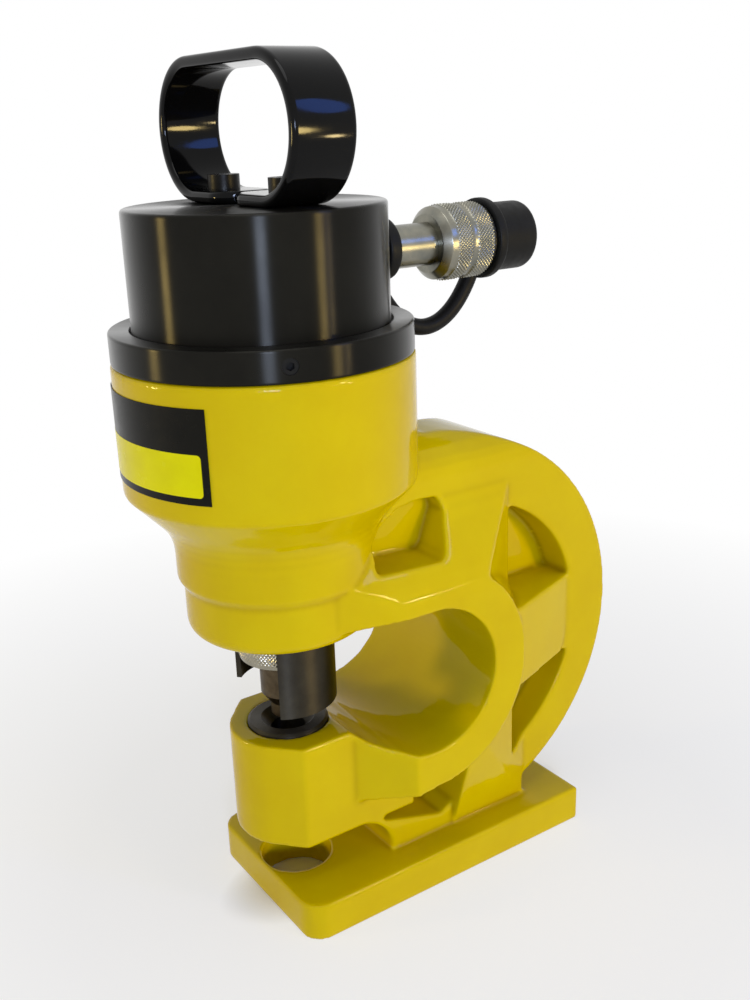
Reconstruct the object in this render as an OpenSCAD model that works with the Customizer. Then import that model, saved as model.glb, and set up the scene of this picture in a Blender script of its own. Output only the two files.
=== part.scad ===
// Hydraulic hole punch: a cast C-frame with a single-acting ram, a punch, a stripper and a die.
// Millimetres. Origin at the centre of the base's underside, die side towards -Y, +Z up.

/* [Base] */
// Length of the base plate, front to back
base_l = 156; // [150:1:180]
// Width of the base plate
base_w = 85.6; // [80:0.2:110]
// Thickness of the base plate
base_t = 17.5; // [14:0.5:24]
// Radius of the base plate's front corners
base_corner_r = 10; // [4:0.5:16]
// Distance from the base's front edge back to the punch axis
base_front = 17.8; // [17:0.2:24]
// Radius of the slug hole in the base
slug_r = 16; // [13:0.5:16]

/* [Frame] */
// Thickness of the foot and the rim across their sides
frame_w = 57; // [52:0.5:64]
// Width of the ring around the throat
ring_w = 92; // [88:0.5:98]
// Thickness of the web between the pockets of the two sides
web_w = 22; // [16:0.5:40]
// Radius of the round back of the frame
rim_r = 95; // [92:0.5:98]
// Distance from the punch axis to the back of the frame
rim_back = 166.5; // [163:0.5:170]
// Throat depth, from the punch axis to its back wall
throat_depth = 81.7; // [79:0.1:85]
// Radius of the round throat
throat_r = 33.7; // [32:0.1:36]
// Wall of the ring around the throat
ring_wall = 18; // [15:0.5:20]
// Width of the rim outside the upper pocket
rim_top_w = 25.5; // [22:0.5:30]
// Width of the rim outside the lower pocket
rim_low_w = 20; // [18:0.5:24]
// Width of the sloping rib between the two back pockets
rib_w = 39.4; // [32:0.2:44]
// Height of the rib's inner end above the rim's side
rib_rise = 16; // [8:0.5:17]
// Height of the slot between the base and the lower jaw
slot_h = 20; // [16:0.5:26]
// Height of the lower jaw's boss
boss_h = 49; // [44:0.5:54]
// Radius of the boss's rounded front
boss_r = 26; // [25:0.1:27]
// Height of the mouth between the two jaws
mouth_h = 48.7; // [46:0.1:52]

/* [Housing] */
// Height of the nose under the housing's taper
nose_h = 44.8; // [43:0.1:52]
// Radius of the nose's upper part
nose_r = 42.3; // [41:0.1:46]
// Radius of the nose's lower part
nose_low_r = 39.8; // [38:0.1:41]
// Edge rounding at the nose's lower end
nose_round = 6; // [3:0.5:10]
// Height of the taper from nose to housing
taper_h = 19.3; // [15:0.1:26]
// Wall of the housing around the cylinder
house_wall = 9.5; // [8:0.1:14]
// Height of the housing's straight part
house_h = 51.7; // [46:0.1:60]
// Width of the blank label around the housing, in degrees
label_span = 80; // [40:1:100]
// Height of the blank label
label_h = 36.2; // [20:0.1:42]
// Thickness of the blank label
label_t = 0.4; // [0.2:0.1:0.8]

/* [Cylinder] */
// Outer radius of the hydraulic cylinder
cyl_r = 50.9; // [48:0.1:54]
// Height of the cylinder above the lock collar
cyl_head_h = 45.2; // [44:0.2:56]
// Bore radius of the cylinder
bore_r = 37.5; // [35:0.5:40]
// Thickness of the cylinder's closed end
crown_t = 16.7; // [15:0.1:17]
// Step from the housing in to the lock collar
collar_step = 0.4; // [0:0.1:2]
// Height of the lock collar
collar_h = 12.5; // [10:0.5:16]
// Bearing angle of the collar's set screw from +X
collar_screw_turn = -20; // [-60:1:20]
// Radius of the collar's set screw
collar_screw_r = 3; // [2:0.5:4]

/* [Ram] */
// Length of the piston
piston_l = 30; // [26:0.5:34]
// Distance the ram can rise from the photographed place
ram_up = 14; // [8:0.5:14]
// Distance the ram can go down from the photographed place
ram_down = 10; // [6:0.5:10]
// Radius of the piston rod
rod_r = 18; // [16.5:0.1:18.4]
// Radius of the threaded rod end inside the punch nut
rod_end_r = 15; // [14:0.1:15.5]
// Mean radius of the return spring
spring_r = 26; // [25.5:0.1:27]
// Wire radius of the return spring
spring_wire_r = 3; // [2:0.1:3.2]
// Number of turns of the return spring
spring_turns = 6; // [4:1:7]
// Wall of the rod's guide bush
bush_wall = 4; // [3:0.1:4.5]

/* [Tooling] */
// Radius of the punch body
punch_r = 11; // [9:0.1:12]
// Radius of the punch tip
punch_tip_r = 7; // [5:0.1:8]
// Length of the punch tip below its cone
punch_tip_l = 5.5; // [4:0.1:8]
// Length of the punch's cone
punch_cone_l = 5.5; // [3:0.1:7]
// Height of the punch tip above the boss
punch_lift = 4; // [3.5:0.1:6]
// Outer radius of the knurled punch nut
nut_r = 19.7; // [18.5:0.1:19.8]
// Height of the knurled punch nut
nut_h = 22; // [18:0.5:24]
// Outer radius of the stripper
strip_r = 22.3; // [22:0.1:23]
// Height of the stripper's lower end above the boss
strip_lift = 11.5; // [9:0.1:12]
// Distance that the stripper can be raised
strip_travel = 4; // [2:0.5:4]
// Thickness of the stripper's lower lip
strip_lip = 6.5; // [4:0.1:7]
// Radius of the die
die_r = 17.9; // [16:0.1:20]
// Length of the die
die_l = 27; // [20:0.5:32]
// Height of the die's top above the boss
die_proud = 1.2; // [0.6:0.1:2]

/* [Handle] */
// Outer width of the handle's loop
handle_w = 108; // [96:1:116]
// Height of the handle's loop
handle_h = 54; // [46:0.5:60]
// Width of the handle's strap
strap_w = 26; // [20:0.5:32]
// Thickness of the handle's strap
strap_t = 4.6; // [3:0.1:5]
// Gap between the handle's two feet
foot_gap = 4; // [2:0.5:10]
// Distance of each handle screw from the axis
handle_screw_x = 24.5; // [18:0.5:26]
// Shank radius of the handle screws
handle_screw_r = 4; // [3:0.5:4]
// Height of the handle screws' heads
handle_head_h = 6; // [5:0.5:8]

/* [Coupler] */
// Height of the coupler axis below the cylinder's top
port_drop = 22.3; // [21:0.1:23]
// Radius of the coupler's stem
stem_r = 9; // [8:0.1:10]
// Free length of the stem between the cylinder and the sleeve
stem_l = 31; // [30:0.5:36]
// Outer radius of the knurled sleeve
sleeve_r = 16.3; // [15.5:0.1:18]
// Length of the knurled sleeve
sleeve_l = 27; // [26:0.5:32]
// Bore radius of the knurled sleeve
sleeve_bore_r = 14; // [13.4:0.1:14.4]
// How far the dust cap's flange stands out past the sleeve
cap_over = 1; // [0.2:0.1:2.5]
// Radius of the dust cap's body
cap_r = 14.8; // [13:0.1:15.8]
// Length of the dust cap outside the sleeve
cap_l = 24; // [18:0.5:28]
// Outer radius of the strap's ring around the stem
strap_ring_r = 12.8; // [12:0.1:14]
// Radius of the cap's strap
cap_strap_r = 3.2; // [2:0.1:3.4]
// Distance of the cap's strap to the far side of the coupler's axis
strap_side = 8; // [0:0.5:9]

/* [Fits] */
// Radial clearance of running fits
run_c = 0.05; // [0.03:0.01:0.08]
// Clearance of parts that pass without touching
pass_c = 0.4; // [0.3:0.05:0.5]
// Clearance of parts that are screwed or pressed together
seat_c = 0.02; // [0:0.01:0.05]

/* [Hidden] */
$fn = 96;
eps = 1;

// Heights of the casting, from the underside up
boss_z0 = base_t + slot_h;
boss_z1 = boss_z0 + boss_h;
jaw_z = boss_z1 + mouth_h;
nose_z = jaw_z + nose_h;
house_z = nose_z + taper_h;
house_top = house_z + house_h;
collar_top = house_top + collar_h;
cyl_top = collar_top + cyl_head_h;

// Outer radii around the cylinder
house_r = cyl_r + house_wall;
collar_r = house_r - collar_step;

// Places across the casting, measured back from the punch axis
axis_y = base_front - base_l / 2;
rim_y = rim_back - rim_r;
rim_z = base_t + rim_r - 0.5;
arm_lift = 5.2;
arm_z = jaw_z + arm_lift;
throat_y = throat_depth - throat_r;
throat_z = arm_z - throat_r;
ring_r = throat_r + ring_wall;
boss_y = 2.5;
boss_corner = 9;
arch_y = 17;
arch_r = slot_h - 2;
foot_back = 112;
shoulder_y = 55;
crown_z = rim_z + rim_r;
shoulder_z = crown_z + 3;
lip_y = 15;
pocket_wall_y = rim_y + 32;
pocket_at = [rim_y + 10.4, rim_z + 0.5];
pocket_r = rim_r - rim_top_w - 7.2;
rib_at = [rim_y + 40.3, rim_z - 5.1];
rib_turn = 1.2;
rib_run = 29;
rib_out = rim_y + rim_r - rim_top_w;

// Half widths of the arm, the jaw and the foot at places back from the punch axis or up
flank_l = 26.7;
flank_r = ring_r + 10.7;
arm_back = pocket_wall_y - flank_l;
arm_top = crown_z - 6;
arm_plan = [
    [nose_low_r - 1, 0], [ring_w / 2, throat_y - 14], [ring_w / 2, arm_back],
    [frame_w / 2 - 1, pocket_wall_y + 1.2]
];
crown = [
    [frame_w / 2, 0], [frame_w / 2, crown_z - 15], [frame_w / 2 - 1.5, crown_z - 11],
    [frame_w / 2 - 4, crown_z - 8], [frame_w / 2 - 9, crown_z - 4], [frame_w / 2 - 16.5, crown_z - 0.5],
    [frame_w / 2 - 24, crown_z + 2]
];
arm_front = concat(
    [[ring_w / 2, 0]],
    [for (t = [0 : 0.125 : 1])
        [frame_w / 2 - 1 + ((ring_w - frame_w) / 2 + 1) * (1 + cos(180 * t)) / 2, arm_z + 2 + 48 * t]],
    [[frame_w / 2 - 9, arm_top]]
);
jaw_plan = [
    [frame_w / 2, boss_y], [frame_w / 2, lip_y + 1], [ring_w / 2, throat_y - 10],
    [ring_w / 2, throat_y + eps]
];
jaw_low_z = throat_z - ring_r;
pocket_in = 26;
foot_y = throat_y + 22;
foot_l = 44;
foot_plan = [
    [ring_w / 2, foot_y], [ring_w / 2, foot_y + 2], [frame_w / 2, foot_y + foot_l]
];
foot_front = [
    [frame_w / 2, base_t], [frame_w / 2 + 2, base_t + 4], [ring_w / 2, jaw_low_z + 18]
];
rib_plan = [
    [frame_w / 2 + rib_rise, throat_y + ring_r - 6], [frame_w / 2, rib_out]
];
nose_step_up = 22;
nose_step_z = jaw_z + nose_step_up;
nose_step_h = 3;
nose_blend = 9;
cone_way = [house_r - nose_r, taper_h] / norm([house_r - nose_r, taper_h]);

// Stacked seats inside the housing
strip_z = boss_z1 + strip_lift;
strip_in = 19;
strip_top = jaw_z + strip_in;
strip_bore_r = strip_r + run_c;
strip_bore_top = strip_top + strip_travel + pass_c;
wiper_h = 3;
wiper_wall = 3;
wiper_r = rod_r + wiper_wall;
bush_z = strip_bore_top + wiper_h;
bush_r = rod_r + bush_wall;
spring_lift = 2;
spring_z = nose_z + spring_lift;
spring_pocket_r = spring_r + spring_wire_r + 2;
cyl_lift = 3.7;
cyl_z = house_z + cyl_lift;
bore_top = cyl_top - crown_t;
piston_top = bore_top - ram_up - 1;
piston_z = piston_top - piston_l;
piston_r = bore_r - run_c;
oring_lift = 9;
oring_z = cyl_z + oring_lift;
oring_h = 3;
oring_d = 2.4;
seal_land = 5;
wear_land = 4;
seal_h = 4;
seal_d = 3.5;
wear_h = 6;
wear_d = 2;

// Tooling under the rod
punch_z = boss_z1 + punch_lift;
cone_z = punch_z + punch_tip_l;
body_z = cone_z + punch_cone_l;
nut_drop = 15.8;
nut_z = jaw_z - nut_drop;
nut_floor = 4;
head_z = nut_z + nut_floor + 0.3;
head_h = 4.7;
handle_screw_in = 11;
spot_d = 0.4;
handle_seat_z = cyl_top + strap_t - spot_d;
handle_head_r = 1.6 * handle_screw_r;
head_r = rod_end_r - 0.5;
rod_z = head_z + head_h;
shoulder_rod_z = nut_z + nut_h + pass_c;
strip_inner_r = nut_r + pass_c;
window_right = -36.5;
window_low_span = 153.5;
window_high_span = 98.5;
window_step_z = strip_z + strip_lip + 0.5;
window_top = jaw_z + 4;
die_top = boss_z1 + die_proud;
die_z = die_top - die_l;
die_hole_r = punch_tip_r + 0.6;
die_dish_r = punch_r + 1;
die_dish_h = 4.5;
jaw_hole_r = die_hole_r + 4;
die_screw_r = 4;
die_screw_z = boss_z1 - 12;
strip_screw_r = 3;
strip_screw_z = jaw_z + 14;

// Coupler stations, measured back from the punch axis
port_z = cyl_top - port_drop;
flat_y = cyl_r - 0.9;
washer_t = 1.8;
washer_r = stem_r + 3.5;
stem_in = flat_y - 9;
port_bore_r = 3.5;
sleeve_y = flat_y + stem_l;
sleeve_wall = 3;
sleeve_end = sleeve_y + sleeve_l;
valve_y = sleeve_y + sleeve_wall + pass_c;
valve_inset = 8;
valve_end = sleeve_end - valve_inset;
valve_gap = 1.5;
valve_r = sleeve_bore_r - valve_gap;
stem_grip = 5;
stem_end = valve_y + stem_grip;
chamber_r = 6;
seat_t = 3.5;
seat_y = valve_end - seat_t;
poppet_r = chamber_r - pass_c;
poppet_stem_r = 3;
seat_r = poppet_stem_r + pass_c;
poppet_head = 3;
poppet_y = seat_y - poppet_head - 0.3;
poppet_spring_r = 4;
poppet_wire_r = 0.6;
spring_well_l = 9;
poppet_spring_y = stem_end - spring_well_l;
spring_well_r = poppet_spring_r + poppet_wire_r + pass_c;
cap_y = sleeve_end + pass_c;
cap_flange_r = sleeve_r + cap_over;
cap_flange_t = 4.5;
plug_l = 6;
plug_r = sleeve_bore_r - pass_c;
cap_wall = 2.5;
cap_strap_ring_l = 6;
strap_ring_in = 5.7;
cap_strap_ring_y = collar_r - strap_ring_in;
strap_bore_r = stem_r + 0.3;

// Route of the cap's strap in a plane beside the coupler's axis, as a cubic curve
strap_sink = 1.2;
strap_end_sink = 0.5;
strap_reach = 10.5;
strap_drop = 21.5;
strap_return = 14.8;
strap_dip = 23;
strap_start = [
    cap_strap_ring_y + cap_strap_ring_l / 2,
    port_z - sqrt(pow(strap_ring_r, 2) - pow(strap_side, 2)) + strap_sink
];
strap_end = [
    cap_y + cap_strap_r,
    port_z - sqrt(pow(cap_flange_r, 2) - pow(strap_side - cap_strap_r, 2)) + strap_end_sink
];
strap_out = [collar_r + strap_reach, collar_top - strap_drop];
strap_back = [strap_end[0] - strap_return, collar_top - strap_dip];
strap_steps = 20;

hex_key = 0.55;

// Shared shapes

module at_axis() translate([0, axis_y, 0]) children();

module yz(x0, x1)
    translate([x0, 0, 0]) rotate([90, 0, 90]) linear_extrude(x1 - x0) children();

module along_y() translate([0, 0, port_z]) rotate([-90, 0, 0]) children();

module tube(r_in, r_out, z0, z1)
    translate([0, 0, z0]) difference() {
        cylinder(h = z1 - z0, r = r_out);
        translate([0, 0, -eps]) cylinder(h = z1 - z0 + 2 * eps, r = r_in);
    }

module rod(r, z0, z1) translate([0, 0, z0]) cylinder(h = z1 - z0, r = r);

module sector(r, from, span, z0, z1)
    rotate([0, 0, from]) rotate_extrude(angle = span) translate([0, z0]) square([r, z1 - z0]);

// Headless screw along +X, its driven end outwards, with a hexagon socket
module grub(r, x0, x1)
    translate([x0, 0, 0]) rotate([0, 90, 0]) difference() {
        cylinder(h = x1 - x0, r = r);
        translate([0, 0, x1 - x0 - r]) cylinder(h = r + eps, r = hex_key * r, $fn = 6);
    }

module grub_hole(r, x0, x1)
    translate([x0, 0, 0]) rotate([0, 90, 0]) cylinder(h = x1 - x0, r = r + seat_c);

// Ring of a swept tube, joined to the next by triangles; both ends are closed
module swept(rings) {
    n = len(rings);
    s = len(rings[0]);
    walls = [
        for (i = [0 : n - 2], j = [0 : s - 1], half = [0, 1])
            let (a = i * s + j, b = i * s + (j + 1) % s)
            half == 0 ? [a, b, b + s] : [a, b + s, a + s]
    ];
    caps = [
        for (j = [1 : s - 2], end = [0, 1])
            end == 0 ? [0, j + 1, j] : [(n - 1) * s, (n - 1) * s + j, (n - 1) * s + j + 1]
    ];
    polyhedron([for (ring = rings) each ring], concat(walls, caps), convexity = 12);
}

// Coil spring between two heights
module coil(r, wire, z0, z1, turns, steps = 18, sides = 8) {
    rise = z1 - z0 - 2 * wire;
    swept([
        for (i = [0 : turns * steps]) [
            for (j = [0 : sides - 1])
                let (turn = 360 * i / steps, round = 360 * j / sides, reach = r + wire * cos(round))
                [
                    reach * cos(turn),
                    reach * sin(turn),
                    z0 + wire + rise * i / (turns * steps) + wire * sin(round)
                ]
        ]
    ]);
}

// Points of a corner that is rounded from a to c
function curve(a, b, c, n = 4) =
    [for (i = [0 : n]) let (t = i / n) pow(1 - t, 2) * a + 2 * t * (1 - t) * b + t * t * c];

function bezier(p, t) =
    pow(1 - t, 3) * p[0] + 3 * pow(1 - t, 2) * t * p[1] + 3 * (1 - t) * t * t * p[2]
    + pow(t, 3) * p[3];

function bezier_way(p, t) =
    pow(1 - t, 2) * (p[1] - p[0]) + 2 * (1 - t) * t * (p[2] - p[1]) + t * t * (p[3] - p[2]);

// Casting

module base_plate()
    translate([0, base_l / 2 - base_front, 0]) linear_extrude(base_t) {
        square([base_w - 2 * base_corner_r, base_l], center = true);
        translate([0, base_corner_r / 2]) square([base_w, base_l - base_corner_r], center = true);
        for (x = [-1, 1])
            translate([x * (base_w / 2 - base_corner_r), base_corner_r - base_l / 2])
                circle(base_corner_r);
    }

// Both halves of an outline that is given by half widths
function both(half) =
    concat(half, [for (i = [len(half) - 1 : -1 : 0]) [-half[i][0], half[i][1]]]);

module plan(half) linear_extrude(2 * house_top) polygon(both(half));

module front(half)
    translate([0, 2 * rim_back, 0]) rotate([90, 0, 0]) linear_extrude(3 * rim_back)
        polygon(both(half));

module across(w) yz(-w / 2, w / 2) children();

module frame_outline()
    difference() {
        union() {
            intersection() {
                translate([rim_y, rim_z]) circle(rim_r);
                translate([throat_y - 3, base_t - eps]) square([2 * rim_r, 3 * rim_r]);
            }
            polygon([
                [0, arm_z], [throat_y, arm_z], [rim_y, rim_z], [rim_y, rim_z + rim_r],
                [shoulder_y, shoulder_z], [0, shoulder_z]
            ]);
            translate([boss_y, boss_z0]) square([throat_y - boss_y, boss_h]);
            translate([arch_y, base_t - eps]) square([foot_back - arch_y, slot_h + 2 * eps]);
        }
        translate([arch_y, boss_z0 - arch_r]) circle(arch_r);
    }

module throat_ring()
    intersection() {
        across(ring_w) translate([throat_y, throat_z]) intersection() {
            circle(ring_r);
            translate([-10, -ring_r]) square(2 * ring_r);
        }
        front(arm_front);
    }

// Sloped flank from the ring's faces down to the rim's, above the rib
module ring_flank()
    intersection() {
        for (side = [0, 1]) mirror([side, 0, 0])
            translate([0, throat_y, throat_z]) rotate([0, 90, 0]) rotate_extrude() polygon([
                [0, 0], [flank_r, 0], [flank_r, frame_w / 2 - 1], [ring_r - 2, ring_w / 2], [0, ring_w / 2]
            ]);
        across(ring_w) intersection() {
            translate([throat_y, throat_z + 14]) square(2 * ring_r);
            frame_outline();
        }
        front(arm_front);
    }

module upper_arm()
    intersection() {
        across(ring_w) intersection() {
            polygon([
                [0, arm_z], [throat_y, arm_z], [throat_y, throat_z], [rim_y + rim_r / 2, throat_z],
                [rim_y + rim_r / 2, arm_top], [0, arm_top]
            ]);
            frame_outline();
        }
        plan(arm_plan);
        front(arm_front);
    }

module lower_jaw() {
    intersection() {
        across(ring_w) polygon([
            [boss_y, jaw_low_z - 4], [lip_y, jaw_low_z - 4], [throat_y, jaw_low_z],
            [throat_y + eps, throat_z], [boss_y, boss_z1]
        ]);
        plan(jaw_plan);
    }
    rod(boss_r, boss_z0, boss_z1);
    translate([0, 0, boss_z0]) linear_extrude(boss_h) polygon(both([
        [boss_r * sin(45), -boss_r * cos(45)], [frame_w / 2, -boss_corner], [frame_w / 2, throat_y]
    ]));
}

module foot_flare()
    intersection() {
        across(ring_w) translate([foot_y, base_t - eps])
            square([foot_l, jaw_low_z + 24 - base_t + eps]);
        plan(foot_plan);
        front(foot_front);
    }

// Throat and mouth, cut through everything but the housing
module throat_cut()
    across(ring_w + 2 * eps) {
        translate([throat_y, throat_z]) circle(throat_r);
        polygon([
            [-house_r, boss_z1], [lip_y, boss_z1], [lip_y + 2.5, boss_z1 - 2.3],
            [lip_y + 7, boss_z1 - 5.7], [lip_y + 14, boss_z1 - 8.9], [throat_y, throat_z - throat_r],
            [throat_y, arm_z], [-house_r, arm_z]
        ]);
    }

module housing_solid()
    rotate_extrude() polygon(concat(
        [[0, house_top], [house_r, house_top], [house_r, house_z]],
        curve([nose_r, nose_z] + nose_blend * cone_way, [nose_r, nose_z], [nose_r, nose_z - nose_blend]),
        [[nose_r, nose_step_z + nose_step_h], [nose_low_r, nose_step_z]],
        [for (a = [0 : 15 : 90])
            [nose_low_r - nose_round * (1 - cos(a)), jaw_z + nose_round * (1 - sin(a))]],
        [[0, jaw_z]]
    ));

// Seats of the stripper, wiper, bush, spring and cylinder, from the jaw up
module housing_bore()
    rotate_extrude() polygon([
        [0, jaw_z - eps], [strip_bore_r, jaw_z - eps], [strip_bore_r, strip_bore_top],
        [wiper_r, strip_bore_top], [wiper_r, bush_z], [bush_r, bush_z], [bush_r, spring_z],
        [spring_pocket_r, spring_z], [spring_pocket_r, cyl_z], [cyl_r + seat_c, cyl_z],
        [cyl_r + seat_c, house_top + eps], [0, house_top + eps]
    ]);

module nose_pocket()
    translate([throat_y, arm_z]) polygon([
        [-23.5, 20.6], [9, 18.9], [11.5, 21.1], [17.5, 37.6], [15.5, 43.1], [6, 43.9], [-6, 42.1],
        [-16.5, 36.4], [-22, 31.1]
    ]);

module back_pocket(at, r, z0)
    difference() {
        intersection() {
            translate(at) circle(r);
            translate([pocket_wall_y, z0]) square([rim_r, rim_r - 5]);
        }
        translate([throat_y, throat_z]) circle(ring_r);
    }

module rib_band()
    translate(rib_at) rotate(rib_turn) translate([-rib_run, -rib_w / 2])
        square([4 * rib_run, rib_w]);

module back_pockets() {
    difference() {
        back_pocket(pocket_at, pocket_r, rib_at[1]);
        rib_band();
    }
    difference() {
        intersection() {
            back_pocket([rim_y, rim_z], rim_r - rim_low_w, base_t + 26);
            square([2 * rim_back, rib_at[1]]);
        }
        rib_band();
    }
}

module foot_pocket()
    polygon([
        [arch_y + 9.5, boss_z0 + 20], [throat_y + 22, boss_z0 + 20], [throat_y + 22, base_t + 12.5],
        [throat_y + 15, base_t + 8], [arch_y + 15, boss_z0 - 3], [arch_y + 9.5, boss_z0 + 4]
    ]);

module rib_wedge()
    intersection() {
        across(frame_w + 2 * rib_rise) intersection() {
            rib_band();
            translate([rim_y, rim_z]) circle(rim_r - rim_top_w);
        }
        plan(rib_plan);
    }

// Foot and rim with the pockets of their two sides
module back_frame() {
    difference() {
        union() {
            intersection() {
                across(frame_w) frame_outline();
                front(crown);
            }
            foot_flare();
        }
        for (side = [0, 1]) mirror([side, 0, 0]) yz(web_w / 2, ring_w / 2 + eps) {
            back_pockets();
            foot_pocket();
        }
    }
    rib_wedge();
}

module frame_casting()
    color("gold") at_axis() difference() {
        union() {
            base_plate();
            difference() {
                union() {
                    back_frame();
                    throat_ring();
                    ring_flank();
                    upper_arm();
                    lower_jaw();
                }
                throat_cut();
            }
            housing_solid();
        }
        for (side = [0, 1]) mirror([side, 0, 0])
            yz(ring_w / 2 - pocket_in, ring_w / 2 + eps) nose_pocket();
        housing_bore();
        rod(die_r + seat_c, die_z, boss_z1 + eps);
        rod(jaw_hole_r, boss_z0 - eps, die_z + eps);
        rod(slug_r, -eps, base_t + eps);
        translate([0, 0, die_screw_z]) rotate([0, 0, 180])
            grub_hole(die_screw_r, die_r - eps, boss_r + frame_w);
        translate([0, 0, strip_screw_z]) rotate([0, 0, 180])
            grub_hole(strip_screw_r, strip_r - eps, nose_r + frame_w);
    }

module blank_label()
    color("black") at_axis() difference() {
        sector(house_r + label_t, -90 - label_span / 2, label_span,
            house_z + 7.5, house_z + 7.5 + label_h);
        rod(house_r + run_c, house_z, house_top);
    }

// Cylinder

module cylinder_port() {
    along_y() {
        rod(port_bore_r, bore_r - eps, cyl_r + eps);
        rod(stem_r + seat_c, stem_in, cyl_r + eps);
        rod(washer_r + 1, flat_y, cyl_r + 10);
    }
}

module hydraulic_cylinder()
    color("#262624") at_axis() difference() {
        rotate_extrude() polygon([
            [bore_r, cyl_z], [cyl_r, cyl_z], [cyl_r, oring_z], [cyl_r - oring_d, oring_z],
            [cyl_r - oring_d, oring_z + oring_h], [cyl_r, oring_z + oring_h],
            [cyl_r, cyl_top - 1.5], [cyl_r - 1.5, cyl_top], [0, cyl_top], [0, bore_top],
            [bore_r, bore_top]
        ]);
        cylinder_port();
        for (x = [-1, 1]) translate([x * handle_screw_x, 0, 0])
            rod(handle_screw_r + seat_c, cyl_top - handle_screw_in - eps, cyl_top + eps);
    }

module cylinder_oring()
    color("#161616") at_axis()
        tube(cyl_r - oring_d + seat_c, cyl_r, oring_z + 0.1, oring_z + oring_h - 0.1);

module lock_collar()
    color("#222220") at_axis() difference() {
        rotate_extrude() polygon([
            [cyl_r + seat_c, house_top], [collar_r - 0.8, house_top], [collar_r, house_top + 0.8],
            [collar_r, collar_top - 1], [collar_r - 1, collar_top], [cyl_r + 3, collar_top],
            [cyl_r + 1.5, collar_top - 2.5], [cyl_r + seat_c, collar_top - 2.5]
        ]);
        translate([0, 0, house_top + collar_h / 2]) rotate([0, 0, collar_screw_turn])
            grub_hole(collar_screw_r, cyl_r - eps, collar_r + eps);
    }

module collar_set_screw()
    color("#303030") at_axis()
        translate([0, 0, house_top + collar_h / 2]) rotate([0, 0, collar_screw_turn])
            grub(collar_screw_r, cyl_r + 0.2, collar_r - 0.4);

module loop_outline(w, h)
    for (x = [-1, 0, 1])
        if (x == 0) translate([0, h / 2]) square([w - h, h], center = true);
        else translate([x * (w - h) / 2, h / 2]) circle(h / 2);

module carry_handle()
    color("#101010") at_axis() difference() {
        translate([0, strap_w / 2, cyl_top]) rotate([90, 0, 0]) linear_extrude(strap_w)
            difference() {
                loop_outline(handle_w, handle_h);
                translate([0, strap_t])
                    loop_outline(handle_w - 2 * strap_t, handle_h - 2 * strap_t);
                translate([-foot_gap / 2, -eps]) square([foot_gap, strap_t + 2 * eps]);
            }
        for (x = [-1, 1]) translate([x * handle_screw_x, 0, 0]) {
            rod(handle_screw_r + pass_c, cyl_top - eps, cyl_top + strap_t + eps);
            rod(handle_head_r + pass_c, handle_seat_z, handle_seat_z + handle_head_h);
        }
    }

module handle_screws()
    color("#1c1c1c") at_axis() for (x = [-1, 1]) translate([x * handle_screw_x, 0, 0])
        difference() {
            union() {
                rod(handle_screw_r, cyl_top - handle_screw_in, handle_seat_z + eps);
                rod(handle_head_r, handle_seat_z, handle_seat_z + handle_head_h);
            }
            translate([0, 0, handle_seat_z + handle_head_h / 2])
                cylinder(h = handle_head_h, r = handle_screw_r * 0.86, $fn = 6);
        }

// Ram

module piston_ram()
    color("silver") at_axis() rotate_extrude() polygon([
        [0, rod_z], [rod_end_r, rod_z], [rod_end_r, shoulder_rod_z], [rod_r, shoulder_rod_z],
        [rod_r, piston_z], [piston_r, piston_z], [piston_r, piston_z + wear_land],
        [piston_r - wear_d, piston_z + wear_land], [piston_r - wear_d, piston_z + wear_land + wear_h],
        [piston_r, piston_z + wear_land + wear_h], [piston_r, piston_top - seal_land - seal_h],
        [piston_r - seal_d, piston_top - seal_land - seal_h], [piston_r - seal_d, piston_top - seal_land],
        [piston_r, piston_top - seal_land], [piston_r, piston_top], [0, piston_top]
    ]);

module piston_seal()
    color("#202020") at_axis()
        tube(piston_r - seal_d, piston_r, piston_top - seal_land - seal_h, piston_top - seal_land);

module piston_wear_ring()
    color("saddlebrown") at_axis()
        tube(piston_r - wear_d, piston_r, piston_z + wear_land, piston_z + wear_land + wear_h);

module return_spring()
    color("dimgray") at_axis() coil(spring_r, spring_wire_r, spring_z, piston_z, spring_turns);

module rod_guide_bush()
    color("peru") at_axis() tube(rod_r + run_c, bush_r, bush_z, spring_z);

module rod_wiper()
    color("#181818") at_axis() tube(rod_r + run_c, wiper_r, strip_bore_top, bush_z);

// Tooling

module punch()
    color("dimgray") at_axis() rotate_extrude() polygon([
        [0, punch_z], [punch_tip_r, punch_z], [punch_tip_r, cone_z], [punch_r, body_z],
        [punch_r, head_z], [head_r, head_z], [head_r, rod_z], [0, rod_z]
    ]);

module punch_nut()
    color("lightgray") at_axis() rotate_extrude() polygon([
        [punch_r + pass_c, nut_z], [nut_r - 1, nut_z], [nut_r, nut_z + 1],
        [nut_r, nut_z + nut_h - 1], [nut_r - 1, nut_z + nut_h], [rod_end_r + run_c, nut_z + nut_h],
        [rod_end_r + run_c, nut_z + nut_floor], [punch_r + pass_c, nut_z + nut_floor]
    ]);

module stripper()
    color("#2a2a27") at_axis() difference() {
        rod(strip_r, strip_z, strip_top);
        rod(punch_r + 0.6, strip_z - eps, strip_top);
        rod(strip_inner_r, strip_z + strip_lip, strip_top + eps);
        sector(strip_r + eps, window_right - window_low_span, window_low_span - window_high_span / 2,
            strip_z - eps, window_step_z);
        sector(strip_r + eps, window_right - window_high_span, window_high_span, strip_z - 2 * eps, window_top);
    }

module stripper_screw()
    color("#303030") at_axis() translate([0, 0, strip_screw_z]) rotate([0, 0, 180])
        grub(strip_screw_r, strip_r + 0.3, nose_low_r - 1);

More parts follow.
